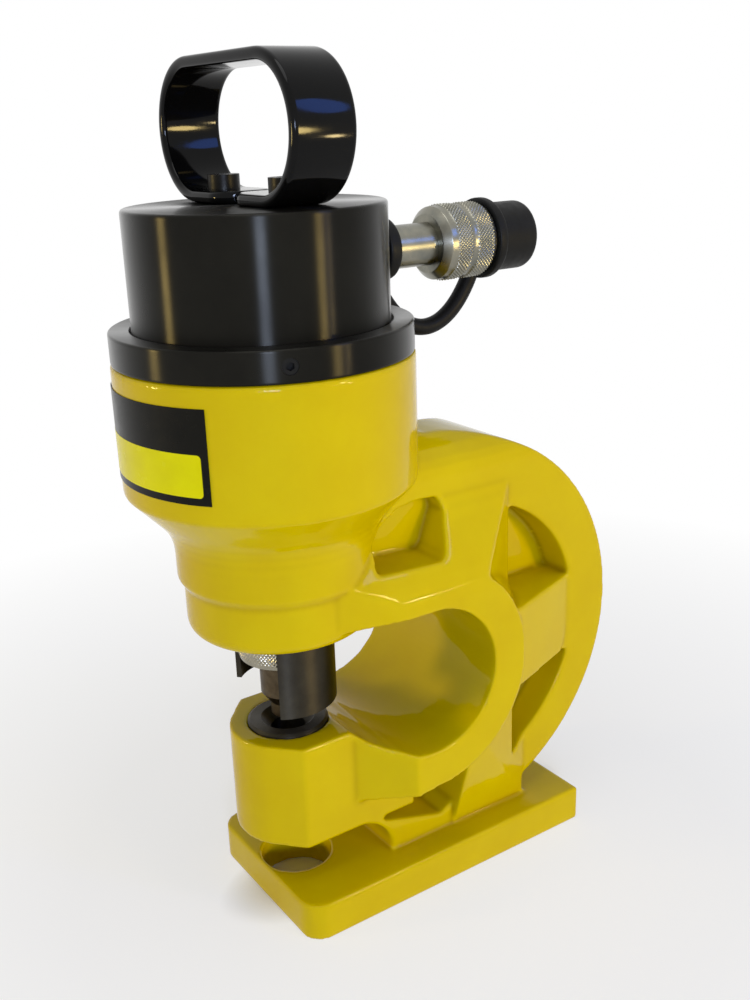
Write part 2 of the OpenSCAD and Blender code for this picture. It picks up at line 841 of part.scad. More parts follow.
module die()
    color("#2c2a28") at_axis() rotate_extrude() polygon([
        [die_hole_r, die_z + 8], [die_hole_r + 2, die_z], [die_r, die_z], [die_r, die_top - 0.8],
        [die_r - 1.2, die_top], [die_dish_r, die_top], [die_hole_r, die_top - die_dish_h]
    ]);

module die_set_screw()
    color("#303030") at_axis() translate([0, 0, die_screw_z]) rotate([0, 0, 180])
        grub(die_screw_r, die_r + seat_c, frame_w / 2 - 3);

// Coupler

module coupler_stem()
    color("gainsboro") at_axis() along_y() rotate_extrude() polygon([
        [port_bore_r, stem_in], [stem_r, stem_in], [stem_r, stem_end], [spring_well_r, stem_end],
        [spring_well_r, poppet_spring_y], [port_bore_r, poppet_spring_y]
    ]);

module port_washer()
    color("#2b2b2b") at_axis() along_y() tube(stem_r + seat_c, washer_r, flat_y, flat_y + washer_t);

module coupler_valve_body()
    color("silver") at_axis() along_y() rotate_extrude() polygon([
        [stem_r + seat_c, valve_y], [valve_r, valve_y], [valve_r, valve_end], [seat_r, valve_end],
        [seat_r, seat_y], [chamber_r, seat_y], [chamber_r, stem_end], [stem_r + seat_c, stem_end]
    ]);

module coupler_sleeve()
    color("lightgray") at_axis() along_y() rotate_extrude() polygon([
        [stem_r + run_c, sleeve_y], [sleeve_r - 4, sleeve_y], [sleeve_r - 0.9, sleeve_y + 3],
        [sleeve_r - 0.9, sleeve_y + 5], [sleeve_r, sleeve_y + 6],
        [sleeve_r, sleeve_y + 14], [sleeve_r - 0.8, sleeve_y + 14.8],
        [sleeve_r - 0.8, sleeve_y + 15.8], [sleeve_r, sleeve_y + 16.6],
        [sleeve_r, sleeve_end - 1.2], [sleeve_r - 1.2, sleeve_end], [sleeve_bore_r, sleeve_end],
        [sleeve_bore_r, sleeve_y + sleeve_wall], [stem_r + run_c, sleeve_y + sleeve_wall]
    ]);

module coupler_poppet()
    color("silver") at_axis() along_y() {
        rod(poppet_r, poppet_y, poppet_y + poppet_head);
        rod(poppet_stem_r, poppet_y, valve_end + 0.5);
    }

module poppet_spring()
    color("dimgray") at_axis() along_y()
        coil(poppet_spring_r, poppet_wire_r, poppet_spring_y, poppet_y, 4, 14);

module dust_cap()
    color("#1b1b1b") at_axis() along_y() rotate_extrude() polygon([
        [plug_r - cap_wall, cap_y - plug_l], [plug_r, cap_y - plug_l], [plug_r, cap_y],
        [cap_flange_r - 0.8, cap_y], [cap_flange_r, cap_y + 0.8],
        [cap_flange_r, cap_y + cap_flange_t - 0.8], [cap_flange_r - 0.8, cap_y + cap_flange_t],
        [cap_r, cap_y + cap_flange_t + 0.6], [cap_r, cap_y + cap_l - 2], [cap_r - 2, cap_y + cap_l],
        [0, cap_y + cap_l], [0, cap_y + cap_l - cap_wall], [plug_r - cap_wall, cap_y + cap_l - cap_wall]
    ]);

module cap_strap()
    color("#1b1b1b") at_axis() {
        along_y() tube(strap_bore_r, strap_ring_r, cap_strap_ring_y, cap_strap_ring_y + cap_strap_ring_l);
        route = [strap_start, strap_out, strap_back, strap_end];
        swept([
            for (i = [0 : strap_steps])
                let (t = i / strap_steps, at = bezier(route, t), way = bezier_way(route, t),
                    side = [-way[1], way[0]] / norm(way))
                [for (j = [0 : 9])
                    let (a = 36 * j)
                    [
                        -strap_side - 1.15 * cap_strap_r * sin(a),
                        at[0] + cap_strap_r * cos(a) * side[0],
                        at[1] + cap_strap_r * cos(a) * side[1]
                    ]]
        ]);
    }

frame_casting();
blank_label();
hydraulic_cylinder();
cylinder_oring();
lock_collar();
collar_set_screw();
carry_handle();
handle_screws();
piston_ram();
piston_seal();
piston_wear_ring();
return_spring();
rod_guide_bush();
rod_wiper();
punch();
punch_nut();
stripper();
stripper_screw();
die();
die_set_screw();
coupler_stem();
port_washer();
coupler_valve_body();
coupler_sleeve();
coupler_poppet();
poppet_spring();
dust_cap();
cap_strap();
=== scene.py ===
"""Looks of a portable hydraulic hole punch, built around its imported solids.

Every piece is in metres in the frame of the solids: the origin is the centre of the base plate's underside, the die
side faces -Y and the coupler +Y. Sizes are written in millimetres and scaled by MM.
"""

from __future__ import annotations

import logging
import math
from collections.abc import Callable, Sequence
from dataclasses import dataclass
from enum import Enum
from typing import Any

import bpy
from mathutils import Matrix, Vector

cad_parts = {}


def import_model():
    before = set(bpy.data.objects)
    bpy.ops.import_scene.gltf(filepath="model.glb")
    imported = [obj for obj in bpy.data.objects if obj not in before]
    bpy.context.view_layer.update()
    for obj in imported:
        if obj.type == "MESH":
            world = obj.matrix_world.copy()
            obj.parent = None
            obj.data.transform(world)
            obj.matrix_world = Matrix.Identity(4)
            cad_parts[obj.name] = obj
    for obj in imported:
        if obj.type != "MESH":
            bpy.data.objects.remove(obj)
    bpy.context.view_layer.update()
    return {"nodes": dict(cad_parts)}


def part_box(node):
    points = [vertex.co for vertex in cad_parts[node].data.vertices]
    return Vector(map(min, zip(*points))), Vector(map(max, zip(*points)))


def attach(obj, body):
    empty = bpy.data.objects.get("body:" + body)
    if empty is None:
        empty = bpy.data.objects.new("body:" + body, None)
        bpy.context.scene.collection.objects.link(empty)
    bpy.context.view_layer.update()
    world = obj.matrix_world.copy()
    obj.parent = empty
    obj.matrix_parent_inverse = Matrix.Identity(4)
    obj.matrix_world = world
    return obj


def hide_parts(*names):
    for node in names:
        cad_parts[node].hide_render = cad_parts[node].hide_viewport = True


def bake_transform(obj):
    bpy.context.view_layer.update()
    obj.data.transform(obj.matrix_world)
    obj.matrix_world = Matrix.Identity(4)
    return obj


MM = 0.001
LOG = logging.getLogger("hole_punch")
# Edges over this angle stay sharp.
SHARP_DEGREES = 35.0
# Radius that stands for the axis in a turned outline, which has to stay off it.
AXIS_MM = 0.01
# Noise values between which one colour turns into the other, and a low roughness into a high one.
PATCH_EDGES = (0.35, 0.7)
SMEAR_EDGES = (0.3, 0.7)
# Width of the roughness smears as a share of the colour patches.
SMEAR_SHARE = 0.4
# Anisotropic rotation is a share of a full turn.
QUARTER_TURN = 0.25

Colour = tuple[float, float, float, float]
Corner = tuple[float, float, float]
Point = tuple[float, float]


class Body(str, Enum):
    """The bodies of the frame that pieces ride on."""

    FRAME = "frame"
    RAM = "ram"
    NUT = "punch_nut"
    SLEEVE = "coupler_sleeve"
    POPPET = "coupler_poppet"
    CAP = "dust_cap"


class Axis(Enum):
    """The direction that a turned piece's axis points in."""

    UP = "up"
    BACK = "back"


def linear(code: str) -> Colour:
    """Turns an sRGB hex value into linear light.

    Args:
        code: A colour such as "#c8b000".

    Returns:
        Linear red, green and blue, and an alpha of 1.
    """
    parts = [int(code[i : i + 2], 16) / 255 for i in (1, 3, 5)]
    red, green, blue = (c / 12.92 if c <= 0.04045 else ((c + 0.055) / 1.055) ** 2.4 for c in parts)
    return (red, green, blue, 1.0)


def per_mm(size: float) -> float:
    """Gives the texture scale at which one feature is size millimetres wide."""
    return 1.0 / (size * MM)


def add_node(
    tree: bpy.types.NodeTree,
    kind: str,
    inputs: dict[str | int, Any] | None = None,
    **settings: Any,
) -> bpy.types.Node:
    """Adds a node with its settings, values and links.

    Args:
        tree: The tree that gets the node.
        kind: The node's Blender type.
        inputs: Input name or number to a value, or to the socket that feeds it.
        settings: Properties of the node itself.

    Returns:
        The new node.
    """
    node = tree.nodes.new(kind)
    for name, value in settings.items():
        setattr(node, name, value)
    for key, value in (inputs or {}).items():
        if isinstance(value, bpy.types.NodeSocket):
            tree.links.new(value, node.inputs[key])
        else:
            node.inputs[key].default_value = value
    return node


@dataclass(frozen=True)
class Finish:
    """A surface finish.

    Attributes:
        name: The material's name, after what it is and how it was made.
        slot: A material slot's name, not used.
        colour: Main colour, sRGB.
        shade: Second colour of the variation, sRGB.
        patch_mm: Width of the colour patches.
        grain_mm: Width of the grain that the bump shows.
        grain_depth_mm: Depth of the grain.
        roughness: Lowest and highest roughness.
        metallic: 1 for bare metal.
        shine: Specular level, 0.5 for a plain dielectric.
        stretch: Grain scale along X, Y and Z relative to grain_mm.
        turning: Strength of the streaks that turning marks give, 0 for none.
        turning_axis: The axis that those marks run around.
    """

    name: str
    slot: str
    colour: str
    shade: str
    patch_mm: float = 20.0
    grain_mm: float = 1.0
    grain_depth_mm: float = 0.02
    roughness: Point = (0.3, 0.4)
    metallic: float = 0.0
    shine: float = 0.5
    stretch: tuple[float, float, float] = (1.0, 1.0, 1.0)
    turning: float = 0.0
    turning_axis: Axis = Axis.UP

    def material(self) -> bpy.types.Material:
        """Makes the material, or finds the one already made.

        Returns:
            The material.
        """
        made = bpy.data.materials.get(self.name)
        if made is not None:
            return made
        made = bpy.data.materials.new(self.name)
        made.use_nodes = True
        tree = made.node_tree
        tree.nodes.clear()
        place = add_node(tree, "ShaderNodeTexCoord").outputs["Object"]
        shader = add_node(
            tree,
            "ShaderNodeBsdfPrincipled",
            {
                "Base Color": self.colouring(tree, place),
                "Metallic": self.metallic,
                "Roughness": self.wear(tree, place),
                "Specular IOR Level": self.shine,
                "Normal": self.relief(tree, place),
            },
        )
        if self.turning > 0:
            around = "Z" if self.turning_axis is Axis.UP else "Y"
            marks = add_node(tree, "ShaderNodeTangent", direction_type="RADIAL", axis=around)
            tree.links.new(marks.outputs["Tangent"], shader.inputs["Tangent"])
            shader.inputs["Anisotropic"].default_value = self.turning
            shader.inputs["Anisotropic Rotation"].default_value = QUARTER_TURN
        add_node(tree, "ShaderNodeOutputMaterial", {"Surface": shader.outputs["BSDF"]})
        made.diffuse_color = linear(self.colour)
        return made

    def colouring(self, tree: bpy.types.NodeTree, place: bpy.types.NodeSocket) -> bpy.types.NodeSocket:
        """Adds the soft patches of the two colours.

        Args:
            tree: The material's nodes.
            place: The socket that gives the place on the piece.

        Returns:
            The colour's socket.
        """
        patches = add_node(
            tree,
            "ShaderNodeTexNoise",
            {"Vector": place, "Scale": per_mm(self.patch_mm), "Detail": 4.0, "Roughness": 0.6},
        )
        first, second = PATCH_EDGES
        share = add_node(
            tree,
            "ShaderNodeMapRange",
            {"Value": patches.outputs["Fac"], "From Min": first, "From Max": second, "To Min": 0.0, "To Max": 1.0},
        )
        mix = add_node(
            tree,
            "ShaderNodeMix",
            {0: share.outputs["Result"], 6: linear(self.colour), 7: linear(self.shade)},
            data_type="RGBA",
        )
        return mix.outputs[2]

    def wear(self, tree: bpy.types.NodeTree, place: bpy.types.NodeSocket) -> bpy.types.NodeSocket:
        """Adds the roughness variation.

        Args:
            tree: The material's nodes.
            place: The socket that gives the place on the piece.

        Returns:
            The roughness's socket.
        """
        smears = add_node(
            tree, "ShaderNodeTexNoise", {"Vector": place, "Scale": per_mm(self.patch_mm * SMEAR_SHARE), "Detail": 3.0}
        )
        first, second = SMEAR_EDGES
        low, high = self.roughness
        spread = add_node(
            tree,
            "ShaderNodeMapRange",
            {"Value": smears.outputs["Fac"], "From Min": first, "From Max": second, "To Min": low, "To Max": high},
        )
        return spread.outputs["Result"]

    def relief(self, tree: bpy.types.NodeTree, place: bpy.types.NodeSocket) -> bpy.types.NodeSocket:
        """Adds the grain's bump.

        Args:
            tree: The material's nodes.
            place: The socket that gives the place on the piece.

        Returns:
            The normal's socket.
        """
        stretched = add_node(tree, "ShaderNodeMapping", {"Vector": place, "Scale": self.stretch})
        grain = add_node(
            tree,
            "ShaderNodeTexNoise",
            {"Vector": stretched.outputs["Vector"], "Scale": per_mm(self.grain_mm), "Detail": 3.0, "Roughness": 0.55},
        )
        bump = add_node(
            tree,
            "ShaderNodeBump",
            {"Height": grain.outputs["Fac"], "Strength": 1.0, "Distance": self.grain_depth_mm * MM},
        )
        return bump.outputs["Normal"]


@dataclass(frozen=True)
class CastEnamel(Finish):
    """Gloss enamel over a sand casting: thin on edges, with painted shade that darkens it in the hollows of the
    pockets.

    Attributes:
        hollow_shade: Colour of the painted shade in hollows, sRGB.
        hollow_shade_share: Strength of that painted shade in the deepest hollows.
        hollow: Pointiness at which the painted shade starts, and at which it is full.
        ripple_mm: Width of the casting's slow unevenness under the paint.
        ripple_depth_mm: Depth of that unevenness.
    """

    # Painted shade: a darker colour mixed into concave places, standing in for the shade that falls in hollows.
    hollow_shade: str = "#8a6a00"
    hollow_shade_share: float = 0.7
    hollow: Point = (0.5, 0.465)
    ripple_mm: float = 14.0
    ripple_depth_mm: float = 0.25

    def colouring(self, tree: bpy.types.NodeTree, place: bpy.types.NodeSocket) -> bpy.types.NodeSocket:
        """Adds the patches and the painted shade that darkens the hollows.

        Args:
            tree: The material's nodes.
            place: The socket that gives the place on the piece.

        Returns:
            The colour's socket.
        """
        patches = super().colouring(tree, place)
        # Painted shade: low pointiness, in hollows and creases, mixes in the hollow_shade colour.
        points = add_node(tree, "ShaderNodeNewGeometry").outputs["Pointiness"]
        start, full = self.hollow
        depth = add_node(
            tree,
            "ShaderNodeMapRange",
            {"Value": points, "From Min": start, "From Max": full, "To Min": 0.0, "To Max": self.hollow_shade_share},
        )
        mix = add_node(
            tree,
            "ShaderNodeMix",
            {0: depth.outputs["Result"], 6: patches, 7: linear(self.hollow_shade)},
            data_type="RGBA",
        )
        return mix.outputs[2]

    def relief(self, tree: bpy.types.NodeTree, place: bpy.types.NodeSocket) -> bpy.types.NodeSocket:
        """Adds paint grain over the casting's ripple.

        Args:
            tree: The material's nodes.
            place: The socket that gives the place on the piece.

        Returns:
            The normal's socket.
        """
        fine = super().relief(tree, place)
        ripple = add_node(
            tree, "ShaderNodeTexNoise", {"Vector": place, "Scale": per_mm(self.ripple_mm), "Detail": 1.0}
        )
        bump = add_node(
            tree,
            "ShaderNodeBump",
            {
                "Height": ripple.outputs["Fac"],
                "Strength": 1.0,
                "Distance": self.ripple_depth_mm * MM,
                "Normal": fine,
            },
        )
        return bump.outputs["Normal"]


# Gloss enamel: even lemon yellow with a hard shine, slow ripples from the sand mould, and painted shade in the hollows.
YELLOW_ENAMEL = CastEnamel(
    "gloss_enamel_sand_cast", "yellow_enamel", "#ccb600", "#c6ad00", 40.0, 2.2, 0.008, (0.05, 0.09), shine=0.1
)
# Black oxide on turned steel: near black with fine rings that draw each lamp into a streak. The rings are drawn coarser
# than real ones.
BLACK_OXIDE = Finish(
    "black_oxide_turned", "black_steel", "#1f1e1a", "#191815", 30.0, 0.9, 0.004, (0.27, 0.32), 0.9,
    stretch=(0.02, 0.02, 1.0), turning=1.0,
)
# Black oxide worn by plates: grey-brown, with a broad warm sheen.
WORN_OXIDE = Finish(
    "black_oxide_worn", "black_steel", "#3b372d", "#2f2b24", 12.0, 0.8, 0.006, (0.4, 0.48), 0.9, turning=0.8
)
# Black oxide on small screws, without rings.
BLACK_SCREW = Finish("black_oxide_screw", "black_steel", "#171613", "#12110f", 4.0, 0.8, 0.01, (0.34, 0.46), 0.85)
# Gloss black paint on a bent strap: a wet shine with slight orange peel.
GLOSS_BLACK = Finish(
    "gloss_black_paint", "gloss_black", "#070707", "#090908", 25.0, 4.0, 0.008, (0.06, 0.11), shine=0.12
)
# Zinc plate on turned steel: grey and bright, with faint straw tints from the passivation.
ZINC_PLATE = Finish(
    "zinc_plate_turned", "zinc", "#8c897c", "#75766f", 9.0, 0.6, 0.004, (0.26, 0.34), 1.0,
    turning=0.6, turning_axis=Axis.BACK,
)
# Bright turned steel of the knurled nut and the ram.
BRIGHT_STEEL = Finish("bright_turned_steel", "bright_steel", "#a39e8e", "#8a8575", 6.0, 0.5, 0.006, (0.22, 0.34), 1.0)
# Tempered tool steel: brown-grey with dull streaks.
TOOL_STEEL = Finish("tempered_tool_steel", "tool_steel", "#574c3b", "#41372a", 5.0, 0.6, 0.01, (0.36, 0.5), 1.0)
# Moulded rubber: dull black with a fine matt skin.
RUBBER = Finish("moulded_rubber", "rubber", "#121211", "#0e0e0d", 8.0, 0.7, 0.02, (0.42, 0.55), shine=0.12)
# Plain bronze of the bush and wear ring.
BRONZE = Finish("turned_bronze", "bronze", "#b08552", "#8f6a3e", 8.0, 0.6, 0.008, (0.3, 0.42), 1.0)
# Printed film: smooth black with a slight sheen.
FILM_BLACK = Finish("printed_film_black", "label", "#0d0c07", "#11100a", 10.0, 1.2, 0.006, (0.2, 0.28), shine=0.1)
# The film's plain yellow panel.
FILM_YELLOW = Finish("printed_film_yellow", "label", "#dcd800", "#d4ce00", 16.0, 1.2, 0.006, (0.2, 0.28), shine=0.1)


def fillet(corners: Sequence[Corner], steps: int = 5) -> list[Point]:
    """Rounds the corners of a closed outline.

    Args:
        corners: Each corner's two coordinates and its rounding radius.
        steps: Segments of each rounding.

    Returns:
        The outline's points.
    """
    points: list[Point] = []
    count = len(corners)
    for i, (x, y, radius) in enumerate(corners):
        here = Vector((x, y))
        before = Vector(corners[i - 1][:2]) - here
        after = Vector(corners[(i + 1) % count][:2]) - here
        if radius <= 0:
            points.append((x, y))
            continue
        angle = before.angle(after)
        reach = min(radius / math.tan(angle / 2), 0.49 * before.length, 0.49 * after.length)
        start = here + before.normalized() * reach
        end = here + after.normalized() * reach
        for k in range(steps + 1):
            t = k / steps
            at = start * (1 - t) ** 2 + here * (2 * t * (1 - t)) + end * t**2
            points.append((at.x, at.y))
    return points


def mesh_object(
    name: str,
    points: Sequence[Sequence[float]],
    faces: Sequence[Sequence[int]],
    sharp: float = SHARP_DEGREES,
) -> bpy.types.Object:
    """Makes a smooth-shaded mesh object.

    Args:
        name: The object's name.
        points: Vertex places in metres.
        faces: Vertex numbers of each face.
        sharp: Edges over this angle in degrees stay sharp.

    Returns:
        The object, linked to the scene.
    """
    mesh = bpy.data.meshes.new(name)
    mesh.from_pydata([tuple(p) for p in points], [], [tuple(f) for f in faces])
    mesh.validate()
    mesh.shade_smooth()
    mesh.set_sharp_from_angle(angle=math.radians(sharp))
    made = bpy.data.objects.new(name, mesh)
    bpy.context.scene.collection.objects.link(made)
    return made


def grid_faces(rows: int, columns: int, wrap_rows: bool, wrap_columns: bool) -> list[tuple[int, int, int, int]]:
    """Lists the quads of a grid of vertices.

    Args:
        rows: Number of rows.
        columns: Vertices in each row.
        wrap_rows: Whether the last row joins the first.
        wrap_columns: Whether each row closes on itself.

    Returns:
        Four vertex numbers for each quad.
    """
    faces = []
    for i in range(rows if wrap_rows else rows - 1):
        for j in range(columns if wrap_columns else columns - 1):
            below, beside = (i + 1) % rows, (j + 1) % columns
            faces.append((i * columns + j, i * columns + beside, below * columns + beside, below * columns + j))
    return faces


def turned(
    name: str,
    outline: Sequence[Point],
    centre: Vector,
    axis: Axis = Axis.UP,
    segments: int = 144,
    cut: Callable[[float, float, float], float] | None = None,
) -> bpy.types.Object:
    """Turns a closed outline about an axis.

    Args:
        name: The object's name.
        outline: Radius and station of each point, in millimetres, as a closed loop off the axis.
        centre: A point on the axis at station zero, in metres.
        axis: The axis's direction.
        segments: Vertices around.
        cut: Gives the radius in millimetres from radius, station and angle, for knurls.

    Returns:
        The turned object.
    """
    points = []
    for radius, station in outline:
        for k in range(segments):
            angle = 2 * math.pi * k / segments
            reach = (cut(radius, station, angle) if cut else radius) * MM
            across, other, along = reach * math.cos(angle), reach * math.sin(angle), station * MM
            offset = Vector((across, other, along)) if axis is Axis.UP else Vector((across, along, -other))
            points.append(centre + offset)
    return mesh_object(name, points, grid_faces(len(outline), segments, True, True))


def spread(start: float, length: float, steps: int) -> list[float]:
    """Lists evenly spaced stations from start over a length."""
    return [start + length * k / steps for k in range(steps + 1)]


@dataclass(frozen=True)
class Knurl:
    """A diamond knurl on bands of a turned piece.

    Attributes:
        count: Diamonds around the piece.
        pitch_mm: Length of a diamond along it.
        depth_mm: Depth of the grooves.
        fade_mm: Length over which the knurl runs out at each end of a band.
        edge_mm: Depth below the bands' radius at which the knurl ends.
        sides: Vertices around the piece for each diamond.
    """

    count: int
    pitch_mm: float
    depth_mm: float
    fade_mm: float
    edge_mm: float = 0.1
    sides: int = 6

    def height(self, angle: float, station: float) -> float:
        """Gives the knurl's height, from 0 in a groove to 1 on a point.

        Args:
            angle: Angle around the piece, in radians.
            station: Distance along it, in millimetres.

        Returns:
            The height.
        """
        around, along = self.count * angle / (2 * math.pi), station / self.pitch_mm
        return min(abs(((around + way * along) % 1.0) * 2 - 1) for way in (1, -1))

    def cutter(self, radius: float, bands: Sequence[Sequence[float]]) -> Callable[[float, float, float], float]:
        """Gives the function that lowers a piece's bands into the grooves.

        Args:
            radius: Radius of the bands, in millimetres.
            bands: Stations of each band, in order along the piece.

        Returns:
            A function that gives the radius from radius, station and angle.
        """

        def cut(reach: float, station: float, angle: float) -> float:
            """Lowers a point of a band and leaves any other."""
            if reach < radius - self.edge_mm:
                return reach
            band = next(stations for stations in bands if station <= stations[-1])
            fade = min(1.0, (station - band[0]) / self.fade_mm, (band[-1] - station) / self.fade_mm)
            return reach - self.depth_mm * (1 - self.height(angle, station) * max(0.0, fade))

        return cut


def swept(
    name: str,
    path: Sequence[Vector],
    sides: Sequence[Vector],
    section: Sequence[Point],
    across: Vector,
    widths: Sequence[float] | None = None,
) -> bpy.types.Object:
    """Sweeps a section along an open path.

    Args:
        name: The object's name.
        path: The path's points, in metres.
        sides: At each point, the direction of the section's second coordinate.
        section: The section's points, in millimetres.
        across: The direction of the section's first coordinate.
        widths: At each point, the share of the section's width, 1 where it is left out.

    Returns:
        The swept object, closed at both ends.
    """
    shares = widths or [1.0] * len(path)
    points = [
        at + across * (u * share * MM) + side * (v * MM)
        for at, side, share in zip(path, sides, shares)
        for u, v in section
    ]
    count = len(section)
    faces: list[Sequence[int]] = list(grid_faces(len(path), count, False, True))
    faces.append(tuple(range(count)))
    faces.append(tuple(reversed(range((len(path) - 1) * count, len(path) * count))))
    return mesh_object(name, points, faces, sharp=50.0)


def settle(piece: bpy.types.Object, body: Body, finish: Finish, *nodes: str) -> bpy.types.Object:
    """Gives a piece its finish and body, and lets it stand for nodes of the frame.

    Args:
        piece: The new piece.
        body: The body that it rides on.
        finish: Its finish.
        nodes: The nodes that it replaces.

    Returns:
        The piece.
    """
    piece.data.materials.clear()
    piece.data.materials.append(finish.material())
    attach(piece, body.value)
    if nodes:
        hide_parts(*nodes)
    LOG.info("%s rides on %s", piece.name, body.value)
    return piece


def cut_hole(
    piece: bpy.types.Object, start: Vector, end: Vector, radius: float, solver: str = "EXACT", segments: int = 40
) -> None:
    """Cuts a round hole into a piece.

    Args:
        piece: The piece that gets the hole.
        start: The hole's first end on its axis, in metres.
        end: Its other end.
        radius: Its radius, in metres.
        solver: The way that Blender works the cut out.
        segments: Sides of the cutter.
    """
    way = (end - start).normalized()
    side = way.orthogonal().normalized() * radius
    other = way.cross(side)
    turns = [2 * math.pi * k / segments for k in range(segments)]
    points = [at + side * math.cos(a) + other * math.sin(a) for at in (start, end) for a in turns]
    faces: list[Sequence[int]] = list(grid_faces(2, segments, False, True))
    faces += [tuple(reversed(range(segments))), tuple(range(segments, 2 * segments))]
    cutter = mesh_object("hole_cutter", points, faces)
    hole = piece.modifiers.new("hole", "BOOLEAN")
    hole.operation = "DIFFERENCE"
    hole.solver = solver
    hole.object = cutter
    graph = bpy.context.evaluated_depsgraph_get()
    cut = bpy.data.meshes.new_from_object(piece.evaluated_get(graph))
    piece.modifiers.clear()
    piece.data = cut
    bpy.data.objects.remove(cutter)


@dataclass
class Casting:
    """The yellow casting: base plate, C-frame, lower jaw, nose and housing.

    Attributes:
        voxel_mm: Grain of the remesh that rounds the edges as a mould does.
        rounding_steps: Smoothing passes, which set the edge radius.
        lift_mm: How far the stripper rises in its bore.
        play_mm: Room kept around the stripper.
        sharp_degrees: Edges over this angle, which the bore's machining leaves, stay sharp.
    """

    voxel_mm: float = 0.9
    quick_voxel_mm: float = 2.0
    rounding_steps: int = 9
    lift_mm: float = 4.0
    play_mm: float = 0.2
    sharp_degrees: float = 60.0

    def build(self, node: bpy.types.Object) -> bpy.types.Object:
        """Makes the rounded casting from the frame's solid.

        Args:
            node: The frame's solid.

        Returns:
            The casting.
        """
        rough = bpy.data.objects.new("casting_rough", node.data.copy())
        bpy.context.scene.collection.objects.link(rough)
        remesh = rough.modifiers.new("mould", "REMESH")
        remesh.mode = "VOXEL"
        remesh.voxel_size = self.voxel_mm * MM
        smooth = rough.modifiers.new("rounding", "SMOOTH")
        smooth.factor = 0.5
        smooth.iterations = self.rounding_steps
        graph = bpy.context.evaluated_depsgraph_get()
        mesh = bpy.data.meshes.new_from_object(rough.evaluated_get(graph))
        bpy.data.objects.remove(rough)
        casting = bpy.data.objects.new("cast_frame", mesh)
        bpy.context.scene.collection.objects.link(casting)
        low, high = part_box("stripper")
        foot = Vector(((low.x + high.x) / 2, (low.y + high.y) / 2, low.z))
        roof = Vector((foot.x, foot.y, high.z + (self.lift_mm + self.play_mm) * MM))
        cut_hole(casting, foot, roof, high.x + self.play_mm * MM, "MANIFOLD")
        casting.data.shade_smooth()
        casting.data.set_sharp_from_angle(angle=math.radians(self.sharp_degrees))
        return settle(casting, Body.FRAME, YELLOW_ENAMEL, "frame_casting")


@dataclass
class Label:
    """The blank film label on the front of the housing.

    Attributes:
        border_mm: Width of the dark border around the yellow panel.
        band_mm: Height of the dark band above the panel.
        proud_mm: Thickness of the panel's print on the film.
        sink: How far its back lies in the film, in print thicknesses.
        corner_mm: Rounding of the panel's corners.
        corner_steps: Columns of each rounding.
        middle_steps: Columns between the roundings.
        rows: Rows of vertices from bottom to top.
    """

    border_mm: float = 2.9
    band_mm: float = 17.0
    proud_mm: float = 0.08
    sink: float = 1.5
    corner_mm: float = 1.6
    corner_steps: int = 6
    middle_steps: int = 40
    rows: int = 9

    def build(self, axis: Vector) -> bpy.types.Object:
        """Makes the yellow panel on the film.

        Args:
            axis: A point on the punch axis at the base, in metres.

        Returns:
            The panel.
        """
        low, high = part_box("blank_label")
        radius = (axis.y - low.y) + self.proud_mm * MM
        half = math.asin(min(1.0, high.x / (axis.y - low.y))) * radius - self.border_mm * MM
        bottom, top = low.z + self.border_mm * MM, high.z - self.band_mm * MM
        corner = self.corner_mm * MM
        turns = spread(0.0, math.pi / 2, self.corner_steps)
        edge = [half - corner * (1 - math.cos(turn)) for turn in turns]
        middle = [edge[-1] * (1 - 2 * k / self.middle_steps) for k in range(1, self.middle_steps)]
        stations = [-x for x in edge] + [-x for x in middle] + list(reversed(edge))
        columns, rows = len(stations), self.rows
        points = []
        for depth in (0.0, -self.sink * self.proud_mm * MM):
            for i in range(rows):
                for x in stations:
                    inset = max(0.0, abs(x) - (half - corner))
                    cut = corner - math.sqrt(max(0.0, corner**2 - inset**2))
                    reach = radius + depth
                    angle = -math.pi / 2 + x / radius
                    height = bottom + cut + (top - bottom - 2 * cut) * i / (rows - 1)
                    points.append(axis + Vector((reach * math.cos(angle), reach * math.sin(angle), height)))
        skin = grid_faces(rows, columns, False, False)
        count = rows * columns
        faces = skin + [tuple(count + n for n in reversed(face)) for face in skin]
        rim = list(range(columns)) + [i * columns + columns - 1 for i in range(1, rows)]
        rim += [(rows - 1) * columns + j for j in range(columns - 2, -1, -1)]
        rim += [i * columns for i in range(rows - 2, 0, -1)]
        for here, there in zip(rim, rim[1:] + rim[:1]):
            faces.append((there, here, count + here, count + there))
        return settle(mesh_object("label_panel", points, faces), Body.FRAME, FILM_YELLOW)


